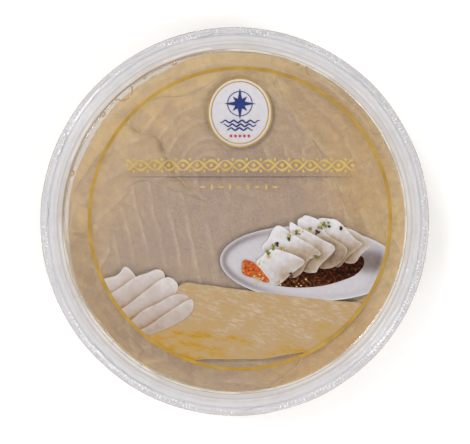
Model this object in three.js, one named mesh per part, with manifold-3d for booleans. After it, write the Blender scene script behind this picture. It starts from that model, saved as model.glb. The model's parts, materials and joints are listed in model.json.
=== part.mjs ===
// A round tub of smoked cod slices in oil: a clear plastic tub, shut with a press-on lid and
// packed with thin fish slices. Millimetres, +Z up, origin on the surface it stands on, under
// the middle.
import * as THREE from "three";
import { mergeVertices } from "three/addons/utils/BufferGeometryUtils.js";
import Module from "manifold-3d";

const wasm = await Module();
wasm.setup();

// --- Driving dimensions -------------------------------------------------------------------
const LID_RADIUS = 70; // outermost bead of the lid's skirt
const HEIGHT = 32; // surface to the crest of the lid's ridge
const SEGMENTS = 64; // facets round the tub and the lid
const ARC_STEPS = 8; // facets of each arc of a tab
const GAP = 0.3; // between pieces that touch
const WELD = 1e-3; // corners closer than this are one

const WALL = 0.9; // of the lid and, level for level, of the tub
const PANEL_TOP = 27.3; // the lid's sunk panel, above the surface
const PANEL_RADIUS = 61.4;
const RIM_TOP = 31.5;
const RIM_INNER = 64.2; // the flat top of the lid's rim, from here ...
const RIM_OUTER = 67.0; // ... to here, with the ridge just inside it
const RIDGE_WIDTH = 0.4;
const SHOULDER_STEPS = { outside: 3, inside: 2 }; // facets from the rim down to the skirt
const SKIRT_TOP = 28.4;
const SKIRT_FOOT = 25.1;
const BEAD = 0.5; // how far the bead stands out of the skirt
const EASE = 0.35; // how far corners are eased

const TUB_RIM = 30.15;
const FLANGE_RADIUS = 67.3;
const FLANGE_DEPTH = 0.95;
const MOUTH_RADIUS = 65.3; // inner edge of the tub's mouth
const BASE_INSIDE = 2.5; // inner face of the tub's floor
const BASE_INSIDE_RADIUS = 58.7;
const WALL_FOOT_RADIUS = 59.3;
const BASE_UNDER = 1.4; // underside of the floor within the foot ring
const FOOT_INNER = 55.2;
const FOOT_OUTER = 57.6;

// What stands on the lid's panel, by its angle in degrees round the lid, from +X.
const SUNK = 0.3; // how deep its foot reaches into the lid
const TAB_REACH = 0.6; // how far the tabs run into the recess wall
const THUMB_TAB = { angle: 130.6, radius: 3.8, raised: 0.5 };
const PULL_TAB = { from: 31.6, to: 65.1, inner: 58.7, raised: 0.35, corner: 1.8 };
const NUB = { radial: 1.5, wide: 1.0, high: 1.2, at: 61.7 };
const NUB_ANGLES = [68.2, 110.8, 122, 140.8, 163.4];
const RIB = { radial: 1.3, wide: 0.6, high: 3.2, at: 62.6 };
const RIB_ANGLES = [205.8, 224.5, 236.8, 283.8, 297.5, 339.7, 344.0];

// The fish fills the tub to a wavy edge, a little off the tub's middle.
const FISH_RADIUS = 61.2;
const FISH_WAVES = [
  { lobes: 1, size: 1.24, phase: -27 },
  { lobes: 2, size: 0.17, phase: -117 },
  { lobes: 3, size: 0.47, phase: -111 },
  { lobes: 11, size: 0.3, phase: 40 },
];
const FISH_EDGE_STEPS = 72;
const FISH_TOP = 25.9; // under the lid's panel
const SWELL = { depth: 0.35, length: 38, shift: 1, skew: 0.5 }; // how its top dips and rises

const SLICE = { middle: 2.3, edge: 0.9, taper: 14 }; // thickness, and the thinned margin's width
const DRAPE = 9.5; // how far out from a slice's edge the next one stays lifted
const LAY_GAP = 0.35; // oil film between two slices
const GRID_STEP = 8; // facets of the draped faces
const GRID_CELLS = 17;
const OUTLINE_STEPS = 3; // facets between two points of a slice's outline
const SPLINE_TENSION = 0.5;

// The lower slices, pressed against the wall as one layered heap: a notch of this depth between
// two layers, its bulge from this share of a layer up, and edges that wave in and out.
const STACK = { layers: 6, notch: 1.1, bulge_from: 0.3, wall_gap: 0.7, segments: 48 };
const STACK_WAVE = { size: 0.5, lobes: 3, turn: 2.1 };

// Outlines of the top slices in mm, lowest first. Points past the fish's edge are cut off there.
const SLICES = {
  slice_low_left: [
    [-70, 10], [-74, -22], [-54, -54], [-24, -72], [-10, -54], [-20, -34], [-36, -18], [-47, 2],
  ],
  slice_bottom: [
    [-40, -66], [-8, -72], [18, -70], [28, -50], [20, -36], [-4, -38], [-30, -44],
  ],
  slice_low_right: [
    [10, -70], [13, -59], [23, -52], [27, -40], [38, -26], [54, -4], [76, -8], [68, -42], [44, -70],
  ],
  slice_upper_left: [
    [12, 72], [-32, 68], [-62, 44], [-74, 14], [-66, 0], [-54, -4], [-40, 10], [-26, 30], [-4, 42],
    [14, 50],
  ],
  slice_right: [
    [13, 58], [17, 46], [24, 34], [33, 21], [41, 2], [49, -14], [62, -27], [76, 0], [70, 34],
    [48, 60], [24, 72],
  ],
  slice_left: [
    [-58, 9], [-51, 2], [-51, -16], [-44, -34], [-28, -46], [-8, -48], [0, -30], [-4, -6],
    [-14, 14], [-26, 32], [-38, 36], [-47, 26], [-53, 18],
  ],
  slice_centre: [
    [-40, 38], [-30, 44], [-16, 46], [-2, 53], [11, 53], [17, 45], [24, 34], [33, 21], [41, 2],
    [47, -14], [40, -30], [22, -40], [5, -36], [-3, -14], [-9, 5], [-24, 17], [-31, 33],
  ],
  slice_middle: [
    [-35, 14], [-20, 11], [-9, 6], [5, 0], [13, -14], [12, -34], [2, -47], [-16, -51],
    [-33, -46], [-43, -32], [-45, -12], [-42, 4],
  ],
};

// --- Materials ----------------------------------------------------------------------------
function clearPlastic() {
  return new THREE.MeshStandardMaterial({
    color: "#dcdad9",
    roughness: 0.22,
    metalness: 0,
    transparent: true,
    opacity: 0.35,
  });
}

function fishFlesh(color) {
  return new THREE.MeshStandardMaterial({ color, roughness: 0.42, metalness: 0 });
}

const FLESH_COLORS = {
  fish_stack: "#bfa57e",
  slice_low_left: "#ab8e6c",
  slice_bottom: "#b9a183",
  slice_low_right: "#b99f72",
  slice_upper_left: "#cbb283",
  slice_right: "#bb9d74",
  slice_left: "#b59c83",
  slice_centre: "#b09888",
  slice_middle: "#b39b87",
};

// --- Solids, and booleans on them ---------------------------------------------------------
function toSolid(geometry) {
  const bare = geometry.index ? geometry.toNonIndexed() : geometry.clone();
  bare.deleteAttribute("normal");
  bare.deleteAttribute("uv");
  const merged = mergeVertices(bare, WELD);
  return new wasm.Manifold(
    new wasm.Mesh({
      numProp: 3,
      vertProperties: merged.attributes.position.array,
      triVerts: new Uint32Array(merged.index.array),
    }),
  );
}

function toGeometry(solid) {
  const { vertProperties, triVerts } = solid.getMesh();
  const geometry = new THREE.BufferGeometry();
  geometry.setAttribute("position", new THREE.BufferAttribute(new Float32Array(vertProperties), 3));
  geometry.setIndex(new THREE.BufferAttribute(new Uint32Array(triVerts), 1));
  geometry.computeVertexNormals();
  return geometry;
}

function named(name, solid, material) {
  const mesh = new THREE.Mesh(toGeometry(solid), material);
  mesh.name = name;
  return mesh;
}

// Turns a half section, given as [radius, height] from the axis round to the axis, about +Z.
function turned(section, segments) {
  const points = section.map(([radius, height]) => new THREE.Vector2(radius, height));
  return toSolid(new THREE.LatheGeometry(points, segments).rotateX(Math.PI / 2));
}

function prism(shape, from, to) {
  const geometry = new THREE.ExtrudeGeometry(shape, {
    depth: to - from,
    bevelEnabled: false,
    curveSegments: ARC_STEPS,
  });
  return toSolid(geometry.translate(0, 0, from));
}

function radians(degrees) {
  return THREE.MathUtils.degToRad(degrees);
}

// --- The tub and its lid ------------------------------------------------------------------
// The tub's inner wall, which leans out from the floor to the mouth.
function wallInside(height) {
  const share = (height - BASE_INSIDE) / (TUB_RIM - BASE_INSIDE);
  return WALL_FOOT_RADIUS + (MOUTH_RADIUS - WALL_FOOT_RADIUS) * share;
}

// The tub's turned body: floor, foot ring, sloped wall and the flange that the lid grips.
function tubSolid() {
  const flange_under = TUB_RIM - FLANGE_DEPTH;
  return turned(
    [
      [0, BASE_UNDER],
      [FOOT_INNER - 2 * EASE, BASE_UNDER],
      [FOOT_INNER, 0],
      [FOOT_OUTER, 0],
      [FOOT_OUTER + 2 * EASE, BASE_UNDER - EASE],
      [WALL_FOOT_RADIUS + EASE, BASE_UNDER],
      [wallInside(BASE_INSIDE) + WALL, BASE_INSIDE],
      [wallInside(flange_under) + WALL, flange_under],
      [FLANGE_RADIUS, flange_under],
      [FLANGE_RADIUS, TUB_RIM - EASE],
      [FLANGE_RADIUS - EASE, TUB_RIM],
      [MOUTH_RADIUS, TUB_RIM],
      [wallInside(BASE_INSIDE + WALL), BASE_INSIDE + WALL],
      [BASE_INSIDE_RADIUS, BASE_INSIDE],
      [0, BASE_INSIDE],
    ],
    SEGMENTS,
  );
}

// Points on the quarter ellipse that rounds the rim into the skirt, from the skirt up.
function shoulder(reach, rise, steps) {
  const points = [];
  for (let i = 0; i <= steps; i += 1) {
    const turn = (i * Math.PI) / 2 / steps;
    points.push([RIM_OUTER + reach * Math.cos(turn), SKIRT_TOP + rise * Math.sin(turn)]);
  }
  return points;
}

// The lid's turned body: a sunk panel, a hollow rim over the tub's flange, and a skirt with a bead.
function lidBody() {
  const panel_under = PANEL_TOP - WALL;
  const rim_under = RIM_TOP - WALL;
  const skirt = LID_RADIUS - BEAD;
  const reach = skirt - RIM_OUTER;
  const rise = RIM_TOP - SKIRT_TOP;
  return turned(
    [
      [0, panel_under],
      [PANEL_RADIUS + WALL, panel_under],
      [PANEL_RADIUS + WALL + 2 * EASE, panel_under + EASE],
      [RIM_INNER + EASE, rim_under - EASE],
      [RIM_INNER + WALL, rim_under],
      ...shoulder(reach - WALL, rise - WALL, SHOULDER_STEPS.inside).reverse(),
      [skirt - WALL, SKIRT_FOOT + EASE],
      [skirt - WALL + EASE, SKIRT_FOOT],
      [LID_RADIUS - EASE, SKIRT_FOOT],
      [LID_RADIUS, SKIRT_FOOT + EASE],
      [LID_RADIUS, SKIRT_FOOT + 3 * EASE],
      [skirt, SKIRT_FOOT + 4 * EASE],
      ...shoulder(reach, rise, SHOULDER_STEPS.outside),
      [RIM_OUTER - EASE, HEIGHT],
      [RIM_OUTER - EASE - RIDGE_WIDTH, HEIGHT],
      [RIM_OUTER - 2 * EASE - RIDGE_WIDTH, RIM_TOP],
      [RIM_INNER, RIM_TOP],
      [RIM_INNER - 2 * EASE, RIM_TOP - EASE],
      [PANEL_RADIUS + 2 * EASE, PANEL_TOP + EASE],
      [PANEL_RADIUS, PANEL_TOP],
      [0, PANEL_TOP],
    ],
    SEGMENTS,
  );
}

// A half-round pad at the panel's edge: a disc cut off inside the recess wall.
function thumbTab() {
  const { angle, radius, raised } = THUMB_TAB;
  const disc = new THREE.Shape().absarc(0, 0, radius, 0, 2 * Math.PI);
  const panel = new THREE.Shape().absarc(0, 0, PANEL_RADIUS + TAB_REACH, 0, 2 * Math.PI);
  const x = PANEL_RADIUS * Math.cos(radians(angle));
  const y = PANEL_RADIUS * Math.sin(radians(angle));
  const pad = prism(disc, PANEL_TOP - SUNK, PANEL_TOP + raised).translate([x, y, 0]);
  return pad.intersect(prism(panel, 0, HEIGHT));
}

// A long curved pad along the panel's edge, with round ends.
function pullTab() {
  const { from, to, inner, raised, corner } = PULL_TAB;
  const turn = radians(corner); // the ends are drawn in by this much at the inner edge
  const start = radians(from);
  const end = radians(to);
  const outer = PANEL_RADIUS + TAB_REACH;
  const band = new THREE.Shape();
  band.absarc(0, 0, outer, start, end, false);
  band.quadraticCurveTo(
    inner * Math.cos(end),
    inner * Math.sin(end),
    inner * Math.cos(end - turn),
    inner * Math.sin(end - turn),
  );
  band.absarc(0, 0, inner, end - turn, start + turn, true);
  band.quadraticCurveTo(
    inner * Math.cos(start),
    inner * Math.sin(start),
    outer * Math.cos(start),
    outer * Math.sin(start),
  );
  return prism(band, PANEL_TOP - SUNK, PANEL_TOP + raised);
}

// A small block at the foot of the recess wall, at an angle round the lid.
function block({ radial, wide, high, at }, degrees) {
  const geometry = new THREE.BoxGeometry(radial, wide, high + SUNK);
  geometry.translate(at, 0, PANEL_TOP + (high - SUNK) / 2);
  return toSolid(geometry.rotateZ(radians(degrees)));
}

function lidSolid() {
  let lid = lidBody().add(thumbTab()).add(pullTab());
  for (const angle of NUB_ANGLES) {
    lid = lid.add(block(NUB, angle));
  }
  for (const angle of RIB_ANGLES) {
    lid = lid.add(block(RIB, angle));
  }
  return lid;
}

// --- The fish -----------------------------------------------------------------------------
function fishEdge(angle) {
  let radius = FISH_RADIUS;
  for (const { lobes, size, phase } of FISH_WAVES) {
    radius += size * Math.cos(lobes * angle - radians(phase));
  }
  return radius;
}

function fishTop(x, y) {
  const { depth, length, shift, skew } = SWELL;
  const waves = Math.sin(x / length + shift) + Math.cos((y - skew * x) / length);
  return FISH_TOP - depth * (1 - waves / 2);
}

function outline(points) {
  const corners = points.map(([x, y]) => new THREE.Vector3(x, y, 0));
  const curve = new THREE.CatmullRomCurve3(corners, true, "catmullrom", SPLINE_TENSION);
  return curve.getPoints(points.length * OUTLINE_STEPS).slice(0, -1);
}

// The distance from a place to a closed outline: above 0 inside, below 0 outside.
function depthInside(x, y, loop) {
  let inside = false;
  let nearest = Infinity;
  loop.forEach((a, i) => {
    const b = loop[(i + 1) % loop.length];
    if (a.y > y !== b.y > y && x < ((b.x - a.x) * (y - a.y)) / (b.y - a.y) + a.x) {
      inside = !inside;
    }
    const edge = new THREE.Line3(a, b);
    const foot = edge.closestPointToPoint(new THREE.Vector3(x, y, 0), true, new THREE.Vector3());
    nearest = Math.min(nearest, Math.hypot(foot.x - x, foot.y - y));
  });
  return inside ? nearest : -nearest;
}

function sliceThickness(depth) {
  const { middle, edge, taper } = SLICE;
  return edge + (middle - edge) * THREE.MathUtils.smoothstep(depth, 0, taper);
}

// How much of a slice's lift the next one feels here: all of it near the slice, none far off.
function lift(depth) {
  return THREE.MathUtils.smoothstep(depth, -2 * DRAPE, -DRAPE);
}

// Places of the grid that every draped face is cut from.
function gridPlaces() {
  const places = [];
  const start = (-GRID_CELLS * GRID_STEP) / 2;
  for (let row = 0; row <= GRID_CELLS; row += 1) {
    for (let column = 0; column <= GRID_CELLS; column += 1) {
      places.push([start + column * GRID_STEP, start + row * GRID_STEP]);
    }
  }
  return places;
}

// A closed slab over the grid between two lists of heights.
function slab(places, bottom, top) {
  const across = GRID_CELLS + 1;
  const count = places.length;
  const positions = [];
  for (const heights of [bottom, top]) {
    places.forEach(([x, y], i) => positions.push(x, y, heights[i]));
  }
  const index = [];
  for (let row = 0; row < GRID_CELLS; row += 1) {
    for (let column = 0; column < GRID_CELLS; column += 1) {
      const a = row * across + column;
      const [b, c, d] = [a + 1, a + across + 1, a + across];
      index.push(a, c, b, a, d, c);
      index.push(a + count, b + count, c + count, a + count, c + count, d + count);
    }
  }
  const wall = (a, b) => index.push(a, b, b + count, a, b + count, a + count);
  const last = GRID_CELLS * across;
  for (let i = 0; i < GRID_CELLS; i += 1) {
    wall(i, i + 1);
    wall(last + i + 1, last + i);
    wall((i + 1) * across, i * across);
    wall(i * across + GRID_CELLS, (i + 1) * across + GRID_CELLS);
  }
  const geometry = new THREE.BufferGeometry();
  geometry.setAttribute("position", new THREE.Float32BufferAttribute(positions, 3));
  geometry.setIndex(index);
  return toSolid(geometry);
}

// The upright prism of the fish's wavy edge.
function fishPrism() {
  const shape = new THREE.Shape();
  for (let i = 0; i < FISH_EDGE_STEPS; i += 1) {
    const angle = (2 * Math.PI * i) / FISH_EDGE_STEPS;
    const radius = fishEdge(angle);
    const place = [radius * Math.cos(angle), radius * Math.sin(angle)];
    if (i === 0) {
      shape.moveTo(...place);
    } else {
      shape.lineTo(...place);
    }
  }
  shape.closePath();
  return prism(shape, 0, HEIGHT);
}

// The heap's side: slice edges laid in layers, each layer with a wave of its own.
function stackSide() {
  const { layers, notch, bulge_from, wall_gap, segments } = STACK;
  const { size, lobes, turn } = STACK_WAVE;
  const bottom = BASE_INSIDE + GAP;
  const step = (FISH_TOP - bottom) / layers;
  const heights = [bottom];
  for (let layer = 0; layer < layers; layer += 1) {
    heights.push(bottom + step * (layer + bulge_from), bottom + step * (layer + 1));
  }
  const positions = [0, 0, heights[0], 0, 0, heights.at(-1)];
  heights.forEach((height, level) => {
    const layer = Math.ceil(level / 2);
    const bulge = level % 2 ? 0 : notch;
    for (let i = 0; i < segments; i += 1) {
      const angle = (2 * Math.PI * i) / segments;
      const wave = size * (1 + Math.sin((lobes + (layer % lobes)) * angle + turn * layer));
      const radius = Math.min(wallInside(height) - wall_gap, fishEdge(angle)) - bulge - wave;
      positions.push(radius * Math.cos(angle), radius * Math.sin(angle), height);
    }
  });
  const index = [];
  const at = (level, i) => 2 + level * segments + (i % segments);
  const top = heights.length - 1;
  for (let i = 0; i < segments; i += 1) {
    index.push(0, at(0, i + 1), at(0, i), 1, at(top, i), at(top, i + 1));
    for (let level = 0; level < top; level += 1) {
      index.push(at(level, i), at(level, i + 1), at(level + 1, i + 1));
      index.push(at(level, i), at(level + 1, i + 1), at(level + 1, i));
    }
  }
  const geometry = new THREE.BufferGeometry();
  geometry.setAttribute("position", new THREE.Float32BufferAttribute(positions, 3));
  geometry.setIndex(index);
  return toSolid(geometry);
}

// Lays the slices on the heap one by one, so that the last ones lie flush under the lid.
function fishSolids() {
  const places = gridPlaces();
  const loops = Object.values(SLICES).map(outline);
  const depths = loops.map((loop) => places.map(([x, y]) => depthInside(x, y, loop)));
  const rise = (depth) => lift(depth) * (sliceThickness(depth) + LAY_GAP);
  let surface = places.map(([x, y], i) => {
    const total = depths.reduce((sum, depth) => sum + rise(depth[i]), 0);
    return fishTop(x, y) - total;
  });
  const floor = places.map(() => BASE_INSIDE);
  const solids = { fish_stack: stackSide().intersect(slab(places, floor, surface)) };
  const edge = fishPrism();
  Object.keys(SLICES).forEach((name, k) => {
    const bottom = surface.map((height) => height + LAY_GAP);
    const top = bottom.map((height, i) => height + sliceThickness(depths[k][i]));
    const shape = new THREE.Shape(loops[k].map(({ x, y }) => new THREE.Vector2(x, y)));
    solids[name] = slab(places, bottom, top).intersect(prism(shape, 0, HEIGHT)).intersect(edge);
    surface = surface.map((height, i) => height + rise(depths[k][i]));
  });
  return solids;
}

// --- The whole ----------------------------------------------------------------------------
const object = new THREE.Group();
object.add(named("tub", tubSolid(), clearPlastic()));
object.add(named("lid", lidSolid(), clearPlastic()));
for (const [name, solid] of Object.entries(fishSolids())) {
  object.add(named(name, solid, fishFlesh(FLESH_COLORS[name])));
}

export default object;
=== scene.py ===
"""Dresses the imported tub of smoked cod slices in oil.

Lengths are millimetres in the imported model's frame. A mesh is scaled to metres when it is made.
"""

import json
import math

import bpy
import numpy as np
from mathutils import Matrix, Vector
from mathutils.geometry import delaunay_2d_cdt


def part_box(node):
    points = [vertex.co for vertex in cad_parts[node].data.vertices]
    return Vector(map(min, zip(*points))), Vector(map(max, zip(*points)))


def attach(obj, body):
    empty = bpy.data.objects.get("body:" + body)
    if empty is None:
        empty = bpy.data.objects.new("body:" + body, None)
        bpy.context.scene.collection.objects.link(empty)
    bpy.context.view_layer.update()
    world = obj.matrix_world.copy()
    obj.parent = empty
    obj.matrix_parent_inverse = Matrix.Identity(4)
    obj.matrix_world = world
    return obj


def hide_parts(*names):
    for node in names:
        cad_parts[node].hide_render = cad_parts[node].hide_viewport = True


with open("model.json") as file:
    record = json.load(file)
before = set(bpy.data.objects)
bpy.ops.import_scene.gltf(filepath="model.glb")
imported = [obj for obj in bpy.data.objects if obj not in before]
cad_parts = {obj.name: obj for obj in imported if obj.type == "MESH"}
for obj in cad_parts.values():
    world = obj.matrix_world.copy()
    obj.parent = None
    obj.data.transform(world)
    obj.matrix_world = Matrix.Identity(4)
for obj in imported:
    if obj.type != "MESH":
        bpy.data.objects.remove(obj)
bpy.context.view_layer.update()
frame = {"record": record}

MM = 0.001


def corners_mm(node):
    return [np.array(corner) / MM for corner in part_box(node)]


# --- Sizes of the tub and the lid, from the frame's boxes ---
lid_low, lid_high = corners_mm("lid")
tub_low, tub_high = corners_mm("tub")
LID_RADIUS = lid_high[0]
HEIGHT = lid_high[2]
SKIRT_FOOT = lid_low[2]
TUB_RIM = tub_high[2]
FLANGE_RADIUS = tub_high[0]

WALL = 0.9
BEAD = 0.5  # how far the bead at the skirt's foot stands out
PANEL_TOP = HEIGHT - 4.7
PANEL_RADIUS = LID_RADIUS - 8.6
RIM_TOP = HEIGHT - 0.5
RIM_INNER = LID_RADIUS - 5.8
RIM_OUTER = LID_RADIUS - 3.0
RIDGE_WIDTH = 0.75
SKIRT_TOP = SKIRT_FOOT + 3.3
CORNER = 0.8  # how far corners are rounded

FLANGE_DEPTH = 0.95
MOUTH_RADIUS = FLANGE_RADIUS - 2.0
BASE_INSIDE = 2.5
WALL_FOOT_RADIUS = 59.3
BASE_UNDER = 1.4
FOOT_INNER = 55.2
FOOT_OUTER = 57.6

TAB_ZONE = 57.2  # the tabs and nubs lie outside this radius
THUMB_TAB = {"angle": 130.6, "radius": 3.8, "flatter": 1.17, "raised": 0.4}
PULL_TAB = {"middle": 48.1, "half_turn": 17.2, "inner": 58.6, "raised": 0.2, "corner": 2.6}
NUB = {"reach": 1.5, "half_width": 0.65, "high": 1.2}
NUBS = [(68.2, 0.6), (110.8, 1.0), (122, 0.5), (140.8, 1.0), (163.4, 1.0)]  # degrees, and how large
RIB = {"reach": 0.5, "half_width": 0.5}
# Pale scratches: degrees, from and to which radius. The last one, by the pull tab's end, is a painted glint.
SCRATCHES = [(95.6, 67.0, 69.2), (106.4, 66.4, 67.9), (19.2, 67.4, 69.2), (31.9, 60.4, 62.4)]
RIB_ANGLES = [205.8, 224.5, 236.8, 283.8, 297.5, 339.7, 344.0]

# --- Sizes of the fish ---
FISH_RADIUS = 61.2
FISH_WAVES = [(1, 1.24, -27), (2, 0.17, -117), (3, 0.47, -111), (11, 0.3, 40)]  # lobes, mm, degrees
FISH_TOP = PANEL_TOP - WALL - 0.5
SWELL_DEPTH = 0.35
SWELL_LENGTH = 38
MIDDLE_THICKNESS = 2.3
TAPER = 14  # how far in from its edge a slice still gets thicker
LAY_GAP = 0.04
DRAPE_NEAR, DRAPE_FAR = 0.2, 3.5  # a slice lifts the next one fully this near its edge, and not this far
LIP = 0.4  # how far in from its edge a slice is rounded
CRACK_STEP = 0.35  # how much thicker the upper slice's edge is along the crack
GROOVE = 0.16  # how deep the line between two flakes is
WRINKLE = 0.14

CRACK = [
    (-37, 34), (-35.1, 32.5), (-32.7, 31.8), (-30, 31.7), (-27.6, 29.6), (-26.4, 26.2), (-23.5, 21),
    (-21.4, 16.1), (-18.7, 13.7), (-15, 11),
]
# The top slices, lowest first. The flakes are nested arches: the foot of their axis, its heading in
# degrees, how far apart they lie, and lean. The edge is how thick a slice is there. The outlines are
# cut off at the fish's edge.
SLICES = {
    "slice_low_left": dict(flakes=(-95, -75, -48, 8.5, 0.1), edge=0.35, outline=[
        (-70, 10), (-74, -22), (-54, -54), (-24, -72), (-10, -54), (-20, -34), (-36, -18), (-47, 2),
    ]),
    "slice_bottom": dict(flakes=(-10, -130, 4, 7.5, 0.05), edge=0.25, outline=[
        (-40, -66), (-8, -72), (18, -70), (28, -50), (20, -36), (-4, -38), (-30, -44),
    ]),
    "slice_low_right": dict(flakes=(95, -110, 42, 8.0, 0.05), edge=0.2, outline=[
        (10, -70), (13, -59), (23, -52), (27, -40), (38, -26), (54, -4), (76, -8), (68, -42), (44, -70),
    ]),
    "slice_upper_left": dict(flakes=(10, -25, 38, 9.5, 0.05), edge=0.15, outline=[
        (12, 72), (-32, 68), (-62, 44), (-74, 14), (-66, 0), (-54, -4), (-40, 10), (-26, 30), (-4, 42),
        (14, 50),
    ]),
    "slice_right": dict(flakes=(-75, -55, -63, 8.0, 0.0), edge=0.12, outline=[
        (13, 58), (17, 46), (24, 34), (33, 21), (41, 2), (49, -14), (62, -27), (76, 0), (70, 34), (48, 60),
        (24, 72),
    ]),
    "slice_left": dict(flakes=(-8, -40, 16, 8.5, 0.1), edge=0.12, outline=[
        (-58, 9), (-51, 2), (-51, -16), (-44, -34), (-28, -46), (-8, -48), (0, -30), (-4, -6), (-14, 14),
        (-26, 32), (-38, 36), (-47, 26), (-53, 18),
    ]),
    "slice_centre": dict(flakes=(-9, 18, 0, 6.1, 0.2), edge=0.2, outline=[
        (-40, 38), (-30, 44), (-16, 46), (-2, 53), (11, 53), (17, 45), (24, 34), (33, 21), (41, 2), (47, -14),
        (40, -30), (22, -40), (5, -36), (-3, -14), (-9, 5), *CRACK[-2:0:-1],
    ]),
    "slice_middle": dict(flakes=(-9, 18, 0, 6.1, 0.2), edge=0.08, outline=[
        (-35, 14), (-20, 11), (-9, 6), (5, 0), (13, -14), (12, -34), (2, -47), (-16, -51), (-33, -46),
        (-43, -32), (-45, -12), (-42, 4),
    ]),
}


# --- Numbers and outlines ---
def smoothstep(value, low, high):
    share = np.clip((value - low) / (high - low), 0, 1)
    return share * share * (3 - 2 * share)


def polar(radius, degrees):
    angle = np.radians(degrees)
    return np.stack([radius * np.cos(angle), radius * np.sin(angle)], -1)


def waves(places, seed, length, count=9):
    """A smooth random field over the plane, about -1 to 1, with bumps about this long."""
    rng = np.random.default_rng(seed)
    total = np.zeros(len(places))
    for _ in range(count):
        heading, phase = rng.uniform(0, 2 * np.pi, 2)
        across = places @ np.array([np.cos(heading), np.sin(heading)])
        total += np.cos(across * 2 * np.pi / (length * rng.uniform(0.7, 1.7)) + phase)
    return total / math.sqrt(count)


def around(angle, seed, fewest, most, count=14):
    """A smooth random function of an angle in radians, about -1 to 1, from that many lobes."""
    rng = np.random.default_rng(seed)
    total = np.zeros(np.shape(angle))
    for lobes in rng.integers(fewest, most, count):
        total += np.cos(lobes * angle + rng.uniform(0, 2 * np.pi))
    return total / math.sqrt(count)


def closed_curve(corners, step=1.0):
    """A smooth closed curve through the corners, with points about one step apart."""
    here = np.array(corners, float)
    before, after, beyond = (np.roll(here, k, 0) for k in (1, -1, -2))
    spans = []
    for k in range(len(here)):
        count = max(2, round(np.linalg.norm(after[k] - here[k]) / step))
        t = np.arange(count)[:, None] / count
        square = 2 * before[k] - 5 * here[k] + 4 * after[k] - beyond[k]
        cube = 3 * here[k] - before[k] - 3 * after[k] + beyond[k]
        spans.append(here[k] + ((after[k] - before[k]) * t + square * t**2 + cube * t**3) / 2)
    return np.concatenate(spans)


def normals_in(loop):
    along = np.roll(loop, -1, 0) - np.roll(loop, 1, 0)
    turned = np.stack([-along[:, 1], along[:, 0]], 1)
    return turned / np.linalg.norm(turned, axis=1, keepdims=True)


def anticlockwise(loop):
    x, y = loop.T
    area = np.sum(x * np.roll(y, -1) - y * np.roll(x, -1))
    return loop if area > 0 else loop[::-1]


def drawn_in(loop, centre, reach):
    """Points further from the centre than reach(angle) are drawn in to it, and thinned out."""
    out = loop - centre
    share = reach(np.arctan2(out[:, 1], out[:, 0])) / np.hypot(*out.T)
    loop = centre + out * np.minimum(1, share)[:, None]
    gap = 0.5 * np.median(np.linalg.norm(np.roll(loop, -1, 0) - loop, axis=1))
    kept = [loop[0]]
    for place in loop[1:]:
        if min(np.linalg.norm(place - kept[-1]), np.linalg.norm(place - kept[0])) > gap:
            kept.append(place)
    return np.array(kept)


def depth_inside(places, loop, limit=6.0):
    """How deep each place lies in a closed outline: above 0 inside, below 0 outside."""
    depth = np.full(len(places), -float(limit))
    low, high = loop.min(0) - limit, loop.max(0) + limit
    near = np.flatnonzero(np.all((places > low) & (places < high), axis=1))
    start, end = loop, np.roll(loop, -1, 0)
    edge = end - start
    for part in np.array_split(near, max(1, len(near) * len(loop) // 2_000_000)):
        x, y = places[part, 0, None], places[part, 1, None]
        share = ((x - start[:, 0]) * edge[:, 0] + (y - start[:, 1]) * edge[:, 1]) / np.sum(edge**2, 1)
        share = np.clip(share, 0, 1)
        gap = np.hypot(x - start[:, 0] - share * edge[:, 0], y - start[:, 1] - share * edge[:, 1])
        crossed = (start[:, 1] > y) != (end[:, 1] > y)
        slope = edge[:, 0] / np.where(edge[:, 1] == 0, 1e-9, edge[:, 1])
        crossed &= x < start[:, 0] + (y - start[:, 1]) * slope
        inside = np.sum(crossed, axis=1) % 2 == 1
        depth[part] = np.where(inside, 1, -1) * np.min(gap, axis=1)
    return depth


# --- Parts: points, triangles and a number for each point under each trait's name ---
def fill(loop, pitch, insets=(0.2, 0.55)):
    """Points and triangles that fill a closed outline, with rings just inside its edge."""
    loop = anticlockwise(loop)
    low, high = loop.min(0), loop.max(0)
    rows = np.arange(low[1], high[1], pitch * 0.87)
    columns = np.arange(low[0], high[0], pitch)
    grid = np.array([(x + k % 2 * pitch / 2, y) for k, y in enumerate(rows) for x in columns])
    places = [loop]
    for inset in insets:
        ring = loop + normals_in(loop) * inset
        places.append(ring[depth_inside(ring, loop) > inset * 0.85])
    places.append(grid[depth_inside(grid, loop) > (insets[-1] if insets else 0) + pitch * 0.5])
    places = np.concatenate(places)
    outline = [list(range(len(loop)))]
    made = delaunay_2d_cdt([Vector(place) for place in places], [], outline, 1, 1e-5)
    points = np.array([list(point) for point in made[0]])
    faces = np.array([face for face in made[2] if len(face) == 3])
    first, second, third = (points[faces[:, k]] for k in range(3))
    area = np.cross(second - first, third - first)
    faces[area < 0] = faces[area < 0][:, ::-1]
    return points, faces[np.abs(area) > 1e-9]


def outline_points(faces):
    """The points on edges that only one triangle has."""
    edges = np.sort(np.concatenate([faces[:, [0, 1]], faces[:, [1, 2]], faces[:, [2, 0]]]), 1)
    edges, uses = np.unique(edges, axis=0, return_counts=True)
    return np.unique(edges[uses == 1])


def cushion(places, faces, top, bottom, **traits):
    """A closed part between two lists of heights that meet at the outline."""
    edge = outline_points(faces)
    inner = np.setdiff1d(np.arange(len(places)), edge)
    middle = top.copy()
    middle[edge] = (top[edge] + bottom[edge]) / 2
    under = np.arange(len(places))
    under[inner] = len(places) + np.arange(len(inner))
    points = np.concatenate([np.column_stack([places, middle]), np.column_stack([places, bottom])[inner]])
    part = {"points": points, "faces": np.concatenate([faces, under[faces][:, ::-1]])}
    for name, values in traits.items():
        part[name] = np.concatenate([values, values[inner]])
    return part


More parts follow.
